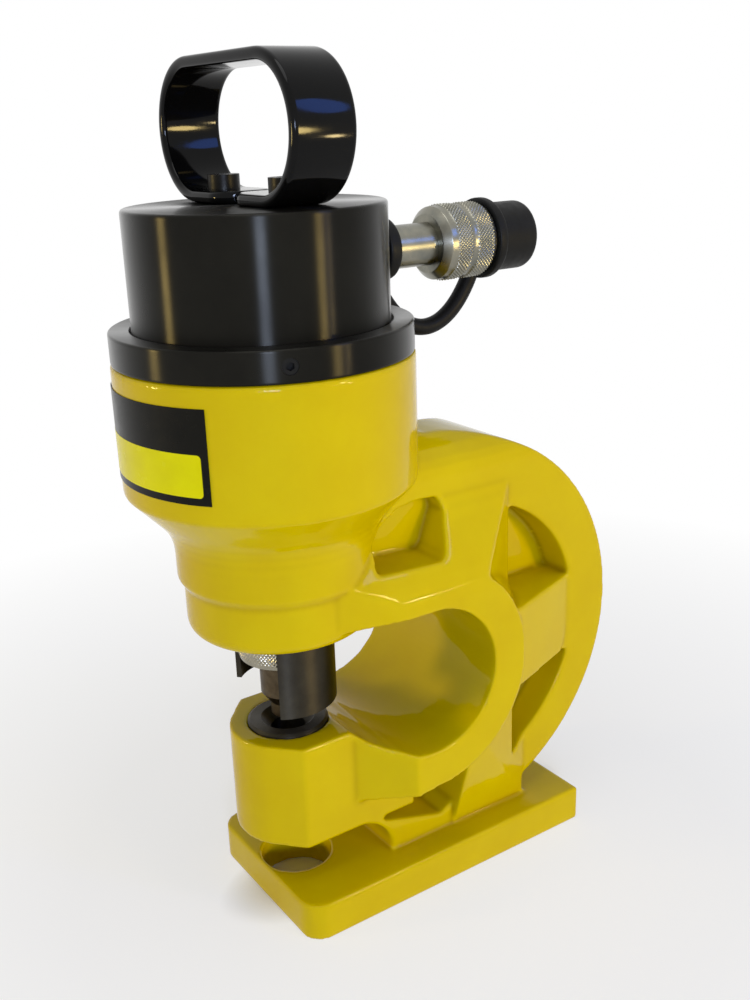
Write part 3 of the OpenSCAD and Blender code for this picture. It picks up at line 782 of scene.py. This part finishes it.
@dataclass
class PressureHead:
    """The black cylinder, its lock collar and the carry handle.

    Attributes:
        edge_mm: Rounding of the cylinder's top edge.
        collar_edge_mm: Rounding of the collar's edges.
        groove_mm: Width of the groove between collar and cylinder.
        groove_depth_mm: Depth of that groove.
        groove_edge_mm: Rounding of its outer edge.
        fit_mm: Clearance of the collar on the cylinder.
        screw_play_mm: Clearance of the set screw in its hole.
        drill_mm: Reach of the set screw's drill to both sides of the screw's middle.
        face_mm: Depth of the collar's round face, within which it is kept smooth.
        bore_mm: Radius of the cylinder's bore.
        crown_mm: Thickness of its closed end.
        strap_mm: Thickness of the handle's strap.
        roll_mm: Rounding of the strap's edges.
        foot_gap_mm: Gap between the handle's feet.
        tongue_mm: Rounding of the feet's corners.
        foot_steps: Segments of a foot's rounding.
        bend_steps: Segments of each of the loop's bends.
        segments: Vertices around cylinder and collar.
    """

    edge_mm: float = 1.6
    collar_edge_mm: float = 1.1
    groove_mm: float = 0.9
    groove_depth_mm: float = 3.0
    groove_edge_mm: float = 0.4
    fit_mm: float = 0.02
    screw_play_mm: float = 0.1
    drill_mm: float = 20.0
    face_mm: float = 0.3
    bore_mm: float = 37.5
    crown_mm: float = 16.7
    strap_mm: float = 4.6
    roll_mm: float = 2.25
    foot_gap_mm: float = 4.0
    tongue_mm: float = 11.0
    foot_steps: int = 12
    bend_steps: int = 48
    segments: int = 192

    def build(self, axis: Vector) -> list[bpy.types.Object]:
        """Makes the three pieces around the punch axis.

        Args:
            axis: A point on the punch axis at the base, in metres.

        Returns:
            Cylinder, collar and handle.
        """
        return [self.cylinder(axis), self.collar(axis), self.handle()]

    def cylinder(self, axis: Vector) -> bpy.types.Object:
        """Turns the cylinder with its bore and soft top edge.

        Args:
            axis: A point on the punch axis at the base, in metres.

        Returns:
            The cylinder.
        """
        low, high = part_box("hydraulic_cylinder")
        radius, bottom, top = high.x / MM, low.z / MM, high.z / MM
        outline = fillet(
            [
                (self.bore_mm, bottom, 0),
                (radius, bottom, 0),
                (radius, top, self.edge_mm),
                (AXIS_MM, top, 0),
                (AXIS_MM, top - self.crown_mm, 0),
                (self.bore_mm, top - self.crown_mm, 0),
            ]
        )
        piece = turned("cylinder_barrel", outline, axis, segments=self.segments)
        return settle(piece, Body.FRAME, BLACK_OXIDE, "hydraulic_cylinder")

    def collar(self, axis: Vector) -> bpy.types.Object:
        """Turns the lock collar with its groove beside the cylinder.

        Args:
            axis: A point on the punch axis at the base, in metres.

        Returns:
            The collar.
        """
        low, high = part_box("lock_collar")
        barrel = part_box("hydraulic_cylinder")[1].x / MM
        inner, groove = barrel + self.fit_mm, barrel + self.groove_mm
        bottom, top = low.z / MM, high.z / MM
        radius = max(high.x / MM, (high.y - axis.y) / MM)
        outline = fillet(
            [
                (inner, bottom, 0),
                (radius, bottom, self.collar_edge_mm),
                (radius, top, self.collar_edge_mm),
                (groove, top, self.groove_edge_mm),
                (groove, top - self.groove_depth_mm, 0),
                (inner, top - self.groove_depth_mm, 0),
            ]
        )
        piece = turned("collar_ring", outline, axis, segments=self.segments)
        self.drill(piece)
        self.true_up(piece, axis, radius * MM)
        return settle(piece, Body.FRAME, BLACK_OXIDE, "lock_collar")

    def drill(self, collar: bpy.types.Object) -> None:
        """Cuts the hole of the set screw through the collar.

        Args:
            collar: The turned collar.
        """
        low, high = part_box("collar_set_screw")
        middle = (low + high) / 2
        barrel_low, barrel_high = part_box("hydraulic_cylinder")
        way = middle - Vector((0, (barrel_low.y + barrel_high.y) / 2, middle.z))
        radius = (high.z - low.z) / 2 + self.screw_play_mm * MM
        reach = way.normalized() * (self.drill_mm * MM)
        cut_hole(collar, middle - reach, middle + reach, radius)

    def true_up(self, collar: bpy.types.Object, axis: Vector, radius: float) -> None:
        """Keeps the collar's round face smooth beside the drilled hole.

        Args:
            collar: The drilled collar.
            axis: A point on the punch axis at the base, in metres.
            radius: The collar's radius, in metres.
        """
        mesh = collar.data
        mesh.shade_smooth()
        mesh.set_sharp_from_angle(angle=math.radians(SHARP_DEGREES))
        normals = [corner.vector.copy() for corner in mesh.corner_normals]
        for face in mesh.polygons:
            middle = face.center - axis
            upright = abs(face.normal.z) <= 0.05
            if not upright or math.hypot(middle.x, middle.y) < radius - self.face_mm * MM:
                continue
            for loop in face.loop_indices:
                out = mesh.vertices[mesh.loops[loop].vertex_index].co - axis
                normals[loop] = Vector((out.x, out.y, 0)).normalized()
        mesh.normals_split_custom_set(normals)

    def handle(self) -> bpy.types.Object:
        """Sweeps the strap round the loop, from foot to foot.

        Returns:
            The handle.
        """
        low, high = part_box("carry_handle")
        middle = (low + high) / 2
        half_strap = self.strap_mm / 2 * MM
        end_radius = (high.z - low.z) / 2 - half_strap
        flat = (high.x - low.x) / 2 - (high.z - low.z) / 2
        width = (high.y - low.y) / 2 / MM
        foot: list[Point] = []
        for turn in spread(0.0, math.pi / 2, self.foot_steps):
            x = (self.foot_gap_mm / 2 + self.tongue_mm * (1 - math.cos(turn))) * MM
            foot.append((x, 1 - self.tongue_mm * (1 - math.sin(turn)) / width))
        path = [Vector((x, middle.y, low.z + half_strap)) for x, _ in foot]
        sides = [Vector((0, 0, -1)) for _ in foot]
        for side in (1, -1):
            for degrees in spread(-90.0 * side, 180.0, self.bend_steps):
                angle = math.radians(degrees)
                way = Vector((math.cos(angle), 0, math.sin(angle)))
                path.append(Vector((side * flat, middle.y, middle.z)) + way * end_radius)
                sides.append(way)
        path += [Vector((-x, middle.y, low.z + half_strap)) for x, _ in reversed(foot)]
        sides += [Vector((0, 0, -1)) for _ in foot]
        narrow = [share for _, share in foot]
        widths = narrow + [1.0] * (len(path) - 2 * len(foot)) + narrow[::-1]
        thick = self.strap_mm / 2
        section = fillet(
            [
                (-width, -thick, self.roll_mm),
                (width, -thick, self.roll_mm),
                (width, thick, self.roll_mm),
                (-width, thick, self.roll_mm),
            ],
            8,
        )
        piece = swept("handle_strap", path, sides, section, Vector((0, 1, 0)), widths)
        return settle(piece, Body.FRAME, GLOSS_BLACK, "carry_handle")


@dataclass
class Tooling:
    """The knurled nut under the nose, which holds the punch.

    Attributes:
        knurl: The nut's knurl.
        rim_mm: Plain rim above and below the knurl.
        band_rows: Rows of the knurl along the nut.
        bevel_mm: Bevel at both ends: depth at the end face, depth where it starts, and its height.
        nut_bore_mm: Radius of the nut's lower hole.
        nut_floor_mm: Thickness of the nut's floor.
        thread_mm: Radius of the nut's thread.
    """

    knurl: Knurl = Knurl(74, 1.9, 0.5, 0.8)
    rim_mm: float = 1.2
    band_rows: int = 66
    bevel_mm: tuple[float, float, float] = (1.0, 0.6, 0.3)
    nut_bore_mm: float = 11.4
    nut_floor_mm: float = 4.0
    thread_mm: float = 15.05

    def build(self, axis: Vector) -> bpy.types.Object:
        """Turns the knurled nut with its diamonds cut in.

        Args:
            axis: A point on the punch axis at the base, in metres.

        Returns:
            The nut.
        """
        low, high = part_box("punch_nut")
        radius, bottom, top = high.x / MM, low.z / MM, high.z / MM
        band = spread(bottom + self.rim_mm, top - bottom - 2 * self.rim_mm, self.band_rows)
        face, start, rise = self.bevel_mm
        floor = bottom + self.nut_floor_mm
        outline = [(self.nut_bore_mm, bottom), (radius - face, bottom), (radius - start, bottom + rise)]
        outline += [(radius, z) for z in band]
        outline += [(radius - start, top - rise), (radius - face, top), (self.thread_mm, top)]
        outline += [(self.thread_mm, floor), (self.nut_bore_mm, floor)]
        segments = self.knurl.sides * self.knurl.count
        piece = turned("nut_knurled", outline, axis, segments=segments, cut=self.knurl.cutter(radius, [band]))
        return settle(piece, Body.NUT, BRIGHT_STEEL, "punch_nut")


@dataclass
class Coupler:
    """The plated coupler with its knurled sleeve, rubber cap and strap.

    Attributes:
        knurl: The sleeve's knurl.
        first_band_mm: Start and length of the first knurled band.
        second_band_mm: Start of the second band, and the plain rim after it.
        band_rows: Rows of each band along the sleeve.
        land_mm: Depth of the sleeve's plain parts below the knurl.
        bevel_mm: Depth and length of the bevel at the stem's side.
        bevel_edge_mm: Rounding of that bevel's edges.
        shoulder_mm: Place of the edge before the first band.
        groove_mm: Start and end of the groove between the bands.
        end_bevel_mm: Bevel at the cap's side: depth where it starts, depth at the end face, and its length.
        sleeve_bore_mm: Bore radius of the sleeve.
        stem_hole_mm: Radius of the sleeve's hole for the stem.
        wall_mm: Thickness of the sleeve's back wall.
        flange_mm: Thickness of the cap's flange.
        cap_mm: Radius of the cap's body.
        plug_mm: Radius of the cap's plug.
        plug_length_mm: Length of the plug inside the sleeve.
        cap_wall_mm: Wall of the cap.
        cap_step_mm: Length of the slope from flange to body.
        plug_edges_mm: Rounding of the plug's inner and outer edge.
        flange_edges_mm: Rounding of the flange's near and far edge.
        cap_edges_mm: Rounding of the cap's body at flange and end.
        strap_mm: Half thickness of the cap's strap.
        strap_round: Radius of the strap's section in half thicknesses.
        strap_side_mm: Distance of the strap to the far side of the coupler's axis.
        strap_sinks_mm: How far the strap's ends lie in ring and cap.
        strap_out_mm: First guide point of its curve, behind the collar's edge and under the collar's top.
        strap_back_mm: Second guide point, before the strap's end and under the collar's top.
        strap_steps: Segments along the strap.
        strap_sides: Sides of its section.
        ring_mm: Outer radius of the strap's ring.
        ring_bore_mm: Bore radius of the strap's ring.
        ring_length_mm: Length of the ring along the stem.
        ring_edges_mm: Rounding of the ring's inner and outer edges.
    """

    knurl: Knurl = Knurl(62, 1.7, 0.7, 0.5)
    first_band_mm: Point = (6.0, 8.0)
    second_band_mm: Point = (16.6, 1.4)
    band_rows: tuple[int, int] = (28, 32)
    land_mm: float = 0.9
    bevel_mm: Point = (4.0, 3.0)
    bevel_edge_mm: float = 0.8
    shoulder_mm: float = 5.2
    groove_mm: Point = (14.8, 15.8)
    end_bevel_mm: tuple[float, float, float] = (1.0, 1.6, 0.3)
    sleeve_bore_mm: float = 14.0
    stem_hole_mm: float = 9.05
    wall_mm: float = 3.0
    flange_mm: float = 4.5
    cap_mm: float = 14.8
    plug_mm: float = 13.6
    plug_length_mm: float = 6.0
    cap_wall_mm: float = 2.5
    cap_step_mm: float = 0.6
    plug_edges_mm: Point = (0.4, 0.8)
    flange_edges_mm: Point = (1.4, 1.6)
    cap_edges_mm: Point = (1.2, 2.6)
    strap_mm: float = 3.2
    strap_round: float = 1.15
    strap_side_mm: float = 8.0
    strap_sinks_mm: Point = (1.2, 0.5)
    strap_out_mm: Point = (10.5, 21.5)
    strap_back_mm: Point = (14.8, 23.0)
    strap_steps: int = 60
    strap_sides: int = 20
    ring_mm: float = 12.8
    ring_bore_mm: float = 9.3
    ring_length_mm: float = 6.0
    ring_edges_mm: Point = (0.5, 1.6)

    def build(self) -> list[bpy.types.Object]:
        """Makes the sleeve, cap and strap.

        Returns:
            The new pieces.
        """
        low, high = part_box("coupler_sleeve")
        centre = Vector((0, low.y, (low.z + high.z) / 2))
        return [self.sleeve(centre, (high.y - low.y) / MM, high.x / MM), self.cap(centre), self.strap(centre)]

    def sleeve(self, centre: Vector, length: float, radius: float) -> bpy.types.Object:
        """Turns the sleeve with its bevel, groove and two knurled bands.

        Args:
            centre: The sleeve's end at the stem, on the coupler's axis, in metres.
            length: The sleeve's length, in millimetres.
            radius: Its radius, in millimetres.

        Returns:
            The sleeve.
        """
        start, rim = self.second_band_mm
        bands = [
            spread(*self.first_band_mm, self.band_rows[0]),
            spread(start, length - start - rim, self.band_rows[1]),
        ]
        land, (bevel, bevel_length) = radius - self.land_mm, self.bevel_mm
        outline = fillet(
            [
                (self.stem_hole_mm, 0, 0),
                (radius - bevel, 0, self.bevel_edge_mm),
                (land, bevel_length, self.bevel_edge_mm),
                (land, self.shoulder_mm, 0),
            ],
            4,
        )
        outline += [(radius, y) for y in bands[0]]
        outline += [(land, y) for y in self.groove_mm] + [(radius, y) for y in bands[1]]
        edge, face, rise = self.end_bevel_mm
        outline += [(radius - edge, length - rise), (radius - face, length), (self.sleeve_bore_mm, length)]
        outline += [(self.sleeve_bore_mm, self.wall_mm), (self.stem_hole_mm, self.wall_mm)]
        cut = self.knurl.cutter(radius, bands)
        piece = turned("sleeve_knurled", outline, centre, Axis.BACK, self.knurl.sides * self.knurl.count, cut)
        return settle(piece, Body.SLEEVE, ZINC_PLATE, "coupler_sleeve")

    def cap(self, centre: Vector) -> bpy.types.Object:
        """Turns the moulded cap with its soft flange and end.

        Args:
            centre: The sleeve's end at the stem, on the coupler's axis, in metres.

        Returns:
            The cap.
        """
        low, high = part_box("dust_cap")
        flange = (high.x - low.x) / 2 / MM
        start = (low.y - centre.y) / MM + self.plug_length_mm
        end = (high.y - centre.y) / MM
        inner = self.plug_mm - self.cap_wall_mm
        outline = fillet(
            [
                (inner, start - self.plug_length_mm, self.plug_edges_mm[0]),
                (self.plug_mm, start - self.plug_length_mm, self.plug_edges_mm[1]),
                (self.plug_mm, start, 0),
                (flange, start, self.flange_edges_mm[0]),
                (flange, start + self.flange_mm, self.flange_edges_mm[1]),
                (self.cap_mm, start + self.flange_mm + self.cap_step_mm, self.cap_edges_mm[0]),
                (self.cap_mm, end, self.cap_edges_mm[1]),
                (AXIS_MM, end, 0),
                (AXIS_MM, end - self.cap_wall_mm, 0),
                (inner, end - self.cap_wall_mm, 0),
            ]
        )
        piece = turned("cap_moulded", outline, centre, Axis.BACK, 128)
        return settle(piece, Body.CAP, RUBBER, "dust_cap")

    def strap(self, centre: Vector) -> bpy.types.Object:
        """Sweeps the strap to the cap's flange and turns its ring on the stem.

        Args:
            centre: The sleeve's end at the stem, on the coupler's axis, in metres.

        Returns:
            The strap without its ring.
        """
        ring_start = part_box("cap_strap")[0].y
        collar_low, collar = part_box("lock_collar")
        axis_y = (collar_low.y + collar.y) / 2
        cap_low, cap_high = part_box("dust_cap")
        side = self.strap_side_mm
        end_y = cap_low.y + (self.plug_length_mm + self.strap_mm) * MM
        ring_sink, cap_sink = self.strap_sinks_mm
        ring_drop = math.sqrt(self.ring_mm**2 - side**2) - ring_sink
        end_drop = math.sqrt((cap_high.x / MM) ** 2 - (side - self.strap_mm) ** 2) - cap_sink
        (out, out_drop), (back, back_drop) = self.strap_out_mm, self.strap_back_mm
        route = [
            Vector((-side * MM, ring_start + self.ring_length_mm / 2 * MM, centre.z - ring_drop * MM)),
            Vector((-side * MM, axis_y + collar.x + out * MM, collar.z - out_drop * MM)),
            Vector((-side * MM, end_y - back * MM, collar.z - back_drop * MM)),
            Vector((-side * MM, end_y, centre.z - end_drop * MM)),
        ]
        last = self.strap_steps
        path, sides = [], []
        for t in spread(0.0, 1.0, last):
            weights = ((1 - t) ** 3, 3 * (1 - t) ** 2 * t, 3 * (1 - t) * t**2, t**3)
            path.append(sum((point * weight for point, weight in zip(route, weights)), Vector()))
        for k in range(last + 1):
            way = path[min(k + 1, last)] - path[max(k - 1, 0)]
            sides.append(Vector((0, -way.z, way.y)).normalized())
        reach = self.strap_round * self.strap_mm
        turns = spread(0.0, 2 * math.pi, self.strap_sides)[:-1]
        section = [(reach * math.cos(turn), reach * math.sin(turn)) for turn in turns]
        strap = swept("cap_strap_rubber", path, sides, section, Vector((-1, 0, 0)))
        outline = fillet(
            [
                (self.ring_bore_mm, 0, self.ring_edges_mm[0]),
                (self.ring_mm, 0, self.ring_edges_mm[1]),
                (self.ring_mm, self.ring_length_mm, self.ring_edges_mm[1]),
                (self.ring_bore_mm, self.ring_length_mm, self.ring_edges_mm[0]),
            ]
        )
        ring = turned("cap_strap_ring", outline, Vector((0, ring_start, centre.z)), Axis.BACK, 96)
        settle(ring, Body.CAP, RUBBER)
        return settle(strap, Body.CAP, RUBBER, "cap_strap")


@dataclass(frozen=True)
class Spring:
    """A hidden coil spring, made from its solid, that stands between the frame and a moving body.

    Attributes:
        name: The piece's name.
        node: The solid that it stands for.
        mover: The body at its moving end; the other end stays on the frame.
        way: The direction from its fixed end to its moving end; not used.
    """

    name: str
    node: str
    mover: Body
    way: tuple[float, float, float]

    def build(self, solid: bpy.types.Object) -> bpy.types.Object:
        """Makes the spring from its solid.

        Args:
            solid: The spring's solid.

        Returns:
            The spring.
        """
        piece = bpy.data.objects.new(self.name, solid.data.copy())
        bpy.context.scene.collection.objects.link(piece)
        piece.data.materials.clear()
        piece.data.materials.append(TOOL_STEEL.material())
        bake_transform(piece)
        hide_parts(self.node)
        LOG.info("%s bends between %s and %s", self.name, Body.FRAME.value, self.mover.value)
        return piece


SPRINGS = (
    Spring("return_spring_coil", "return_spring", Body.RAM, (0.0, 0.0, 1.0)),
    Spring("poppet_spring_coil", "poppet_spring", Body.POPPET, (0.0, 1.0, 0.0)),
)
NODE_FINISHES: dict[str, Finish] = {
    "blank_label": FILM_BLACK,
    "cylinder_oring": RUBBER,
    "collar_set_screw": BLACK_SCREW,
    "handle_screws": BLACK_SCREW,
    "piston_ram": BRIGHT_STEEL,
    "piston_seal": RUBBER,
    "piston_wear_ring": BRONZE,
    "rod_guide_bush": BRONZE,
    "rod_wiper": RUBBER,
    "punch": TOOL_STEEL,
    "stripper": WORN_OXIDE,
    "stripper_screw": BLACK_SCREW,
    "die": WORN_OXIDE,
    "die_set_screw": BLACK_SCREW,
    "coupler_stem": ZINC_PLATE,
    "port_washer": RUBBER,
    "coupler_valve_body": ZINC_PLATE,
    "coupler_poppet": BRIGHT_STEEL,
}


def dress_nodes(nodes: dict[str, bpy.types.Object]) -> None:
    """Gives each solid that isn't replaced its finish.

    Args:
        nodes: The frame's solids by name.
    """
    for name, finish in NODE_FINISHES.items():
        node = nodes[name]
        node.data.materials.clear()
        node.data.materials.append(finish.material())
        LOG.info("%s keeps its solid", name)


@dataclass(frozen=True)
class Lamp:
    """A round or oval lamp that faces the tool's middle.

    Attributes:
        name: The lamp's name.
        bearing: Its bearing from the front, in degrees.
        height: Its height angle, in degrees.
        size: Its width and height, in metres.
        power: Its power, in watts.
        tint: Its colour, sRGB.
    """

    name: str
    bearing: float
    height: float
    size: Point
    power: float
    tint: str


# A cool lamp by the camera, warm ones to both sides, a plain one above, and a bulb and a pane for the gloss.
LAMPS = (
    Lamp("window", 62.0, 10.0, (0.2, 0.2), 8.3, "#c6d7ff"),
    Lamp("left", -21.0, 4.0, (0.18, 0.18), 4.9, "#ffe090"),
    Lamp("right", 112.0, 3.0, (0.18, 0.18), 5.5, "#ffe090"),
    Lamp("top", 60.0, 80.0, (0.8, 0.8), 3.9, "#ffffff"),
    Lamp("bulb", 121.0, -5.0, (0.08, 0.08), 1.4, "#ffe2a0"),
    Lamp("pane", 121.0, 31.0, (0.22, 0.4), 2.0, "#4f86ff"),
)
# Where the floor keeps its shadow: stretch of the patch, its inner and outer reach in metres, and the share of white
# inside. The first is the wide soft shadow, the second the contact under the base.
FLOOR_FADES = (((1.0, 1.0, 1.0), 0.16, 0.5, 0.6), ((2.6, 1.0, 1.0), 0.075, 0.1, 0.0))


@dataclass
class Studio:
    """Camera, floor and lamps.

    Attributes:
        azimuth: The camera's bearing from the front, in degrees.
        elevation: Its height angle, in degrees.
        roll: Its roll, in degrees.
        distance_mm: Its distance from the point it looks at.
        side_mm: That point's offset to the camera's right.
        height_mm: That point's height.
        lens_mm: Focal length.
        shift: The lens's shift, as a share of the picture's height.
        sensor_mm: The sensor's longer side.
        lamp_reach: Distance of the lamps from the tool's middle, in metres.
        lamp_aim: Height of that middle, in metres.
        fill: Strength of the surround's light.
        floor_half: Half the floor's width, in metres.
    """

    azimuth: float = 56.211
    elevation: float = 18.71
    roll: float = -1.978
    distance_mm: float = 462.26
    side_mm: float = 41.545
    height_mm: float = 189.86
    lens_mm: float = 40.04
    shift: Point = (0.00135, -0.00573)
    sensor_mm: float = 36.0
    lamp_reach: float = 1.3
    lamp_aim: float = 0.18
    fill: float = 0.24
    floor_half: float = 6.0

    def build(self, axis: Vector) -> None:
        """Sets up camera, floor, world and lamps.

        Args:
            axis: A point on the punch axis at the base, in metres.
        """
        self.camera(axis)
        self.floor()
        self.world()
        self.lamps()

    def camera(self, axis: Vector) -> None:
        """Places the camera where the photograph was taken from.

        Args:
            axis: A point on the punch axis at the base, in metres.
        """
        bearing, height, roll = (math.radians(a) for a in (self.azimuth, self.elevation, self.roll))
        back = Vector(
            (math.sin(bearing) * math.cos(height), -math.cos(bearing) * math.cos(height), math.sin(height))
        )
        right = Vector((math.cos(bearing), math.sin(bearing), 0))
        up = back.cross(right)
        aim = axis + Vector((0, 0, self.height_mm * MM)) + right * (self.side_mm * MM)
        place = aim + back * (self.distance_mm * MM)
        rolled_right = right * math.cos(roll) + up * math.sin(roll)
        rolled_up = up * math.cos(roll) - right * math.sin(roll)
        lens = bpy.data.cameras.new("camera")
        lens.sensor_width = self.sensor_mm
        lens.lens = self.lens_mm
        lens.shift_x, lens.shift_y = self.shift
        lens.clip_start = 0.01
        camera = bpy.data.objects.new("camera", lens)
        turn = Matrix((rolled_right, rolled_up, back)).transposed()
        camera.matrix_world = Matrix.Translation(place) @ turn.to_4x4()
        bpy.context.scene.collection.objects.link(camera)
        bpy.context.scene.camera = camera

    def seen_background(self, tree: bpy.types.NodeTree) -> bpy.types.NodeSocket:
        """Adds the test for rays that see the background itself.

        Args:
            tree: The nodes of the floor or the world.

        Returns:
            The test's socket.
        """
        path = add_node(tree, "ShaderNodeLightPath")
        seen = path.outputs["Is Camera Ray"]
        for other in ("Is Glossy Ray", "Is Transmission Ray"):
            seen = add_node(
                tree, "ShaderNodeMath", {0: seen, 1: path.outputs[other]}, operation="MAXIMUM"
            ).outputs["Value"]
        return seen

    def floor(self) -> None:
        """Lays the pale floor, which stays white, keeps the shadow and is dark under the base."""
        half = self.floor_half
        points = [(-half, -half, 0), (half, -half, 0), (half, half, 0), (-half, half, 0)]
        floor = mesh_object("studio_floor", points, [(0, 1, 2, 3)])
        paper = bpy.data.materials.new("white_paper")
        paper.use_nodes = True
        tree = paper.node_tree
        tree.nodes.clear()
        matt = add_node(tree, "ShaderNodeBsdfDiffuse", {"Color": linear("#f4f4f2")})
        bright = add_node(tree, "ShaderNodeEmission", {"Color": (1, 1, 1, 1), "Strength": 1.0})
        place = add_node(tree, "ShaderNodeNewGeometry").outputs["Position"]
        share = self.seen_background(tree)
        for stretch, near, far, least in FLOOR_FADES:
            scaled = add_node(tree, "ShaderNodeVectorMath", {0: place, 1: stretch}, operation="MULTIPLY")
            reach = add_node(tree, "ShaderNodeVectorMath", {0: scaled.outputs["Vector"]}, operation="LENGTH")
            fade = add_node(
                tree,
                "ShaderNodeMapRange",
                {"Value": reach.outputs["Value"], "From Min": near, "From Max": far, "To Min": least, "To Max": 1.0},
            )
            share = add_node(
                tree, "ShaderNodeMath", {0: share, 1: fade.outputs["Result"]}, operation="MULTIPLY"
            ).outputs["Value"]
        mix = add_node(
            tree,
            "ShaderNodeMixShader",
            {0: share, 1: matt.outputs["BSDF"], 2: bright.outputs["Emission"]},
        )
        add_node(tree, "ShaderNodeOutputMaterial", {"Surface": mix.outputs["Shader"]})
        floor.data.materials.append(paper)

    def world(self) -> None:
        """Makes a white surround that gives a soft fill."""
        world = bpy.data.worlds.new("studio")
        world.use_nodes = True
        tree = world.node_tree
        tree.nodes.clear()
        fill = add_node(tree, "ShaderNodeBackground", {"Color": (1, 1, 1, 1), "Strength": self.fill})
        white = add_node(tree, "ShaderNodeBackground", {"Color": (1, 1, 1, 1), "Strength": 1.0})
        mix = add_node(
            tree,
            "ShaderNodeMixShader",
            {0: self.seen_background(tree), 1: fill.outputs["Background"], 2: white.outputs["Background"]},
        )
        add_node(tree, "ShaderNodeOutputWorld", {"Surface": mix.outputs["Shader"]})
        bpy.context.scene.world = world

    def lamps(self) -> None:
        """Hangs the lamps around the tool."""
        aim = Vector((0, 0, self.lamp_aim))
        for plan in LAMPS:
            lamp = bpy.data.lights.new(plan.name, "AREA")
            lamp.shape = "ELLIPSE"
            lamp.size, lamp.size_y = plan.size
            lamp.energy = plan.power
            lamp.color = linear(plan.tint)[:3]
            made = bpy.data.objects.new(plan.name, lamp)
            turn, rise = math.radians(plan.bearing), math.radians(plan.height)
            way = Vector((math.sin(turn) * math.cos(rise), -math.cos(turn) * math.cos(rise), math.sin(rise)))
            made.location = aim + way * self.lamp_reach
            made.rotation_euler = (-way).to_track_quat("-Z", "Y").to_euler()
            bpy.context.scene.collection.objects.link(made)


def main() -> None:
    """Builds the scene around the frame."""
    logging.basicConfig(level=logging.INFO, format="%(message)s")
    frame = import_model()
    die_low, die_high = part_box("die")
    axis = Vector((0, (die_low.y + die_high.y) / 2, 0))
    Studio().build(axis)
    dress_nodes(frame["nodes"])
    Casting().build(frame["nodes"]["frame_casting"])
    for spring in SPRINGS:
        spring.build(frame["nodes"][spring.node])
    Label().build(axis)
    PressureHead().build(axis)
    Tooling().build(axis)
    Coupler().build()
    bpy.context.scene.view_settings.view_transform = "Standard"


if __name__ == "__main__":
    main()
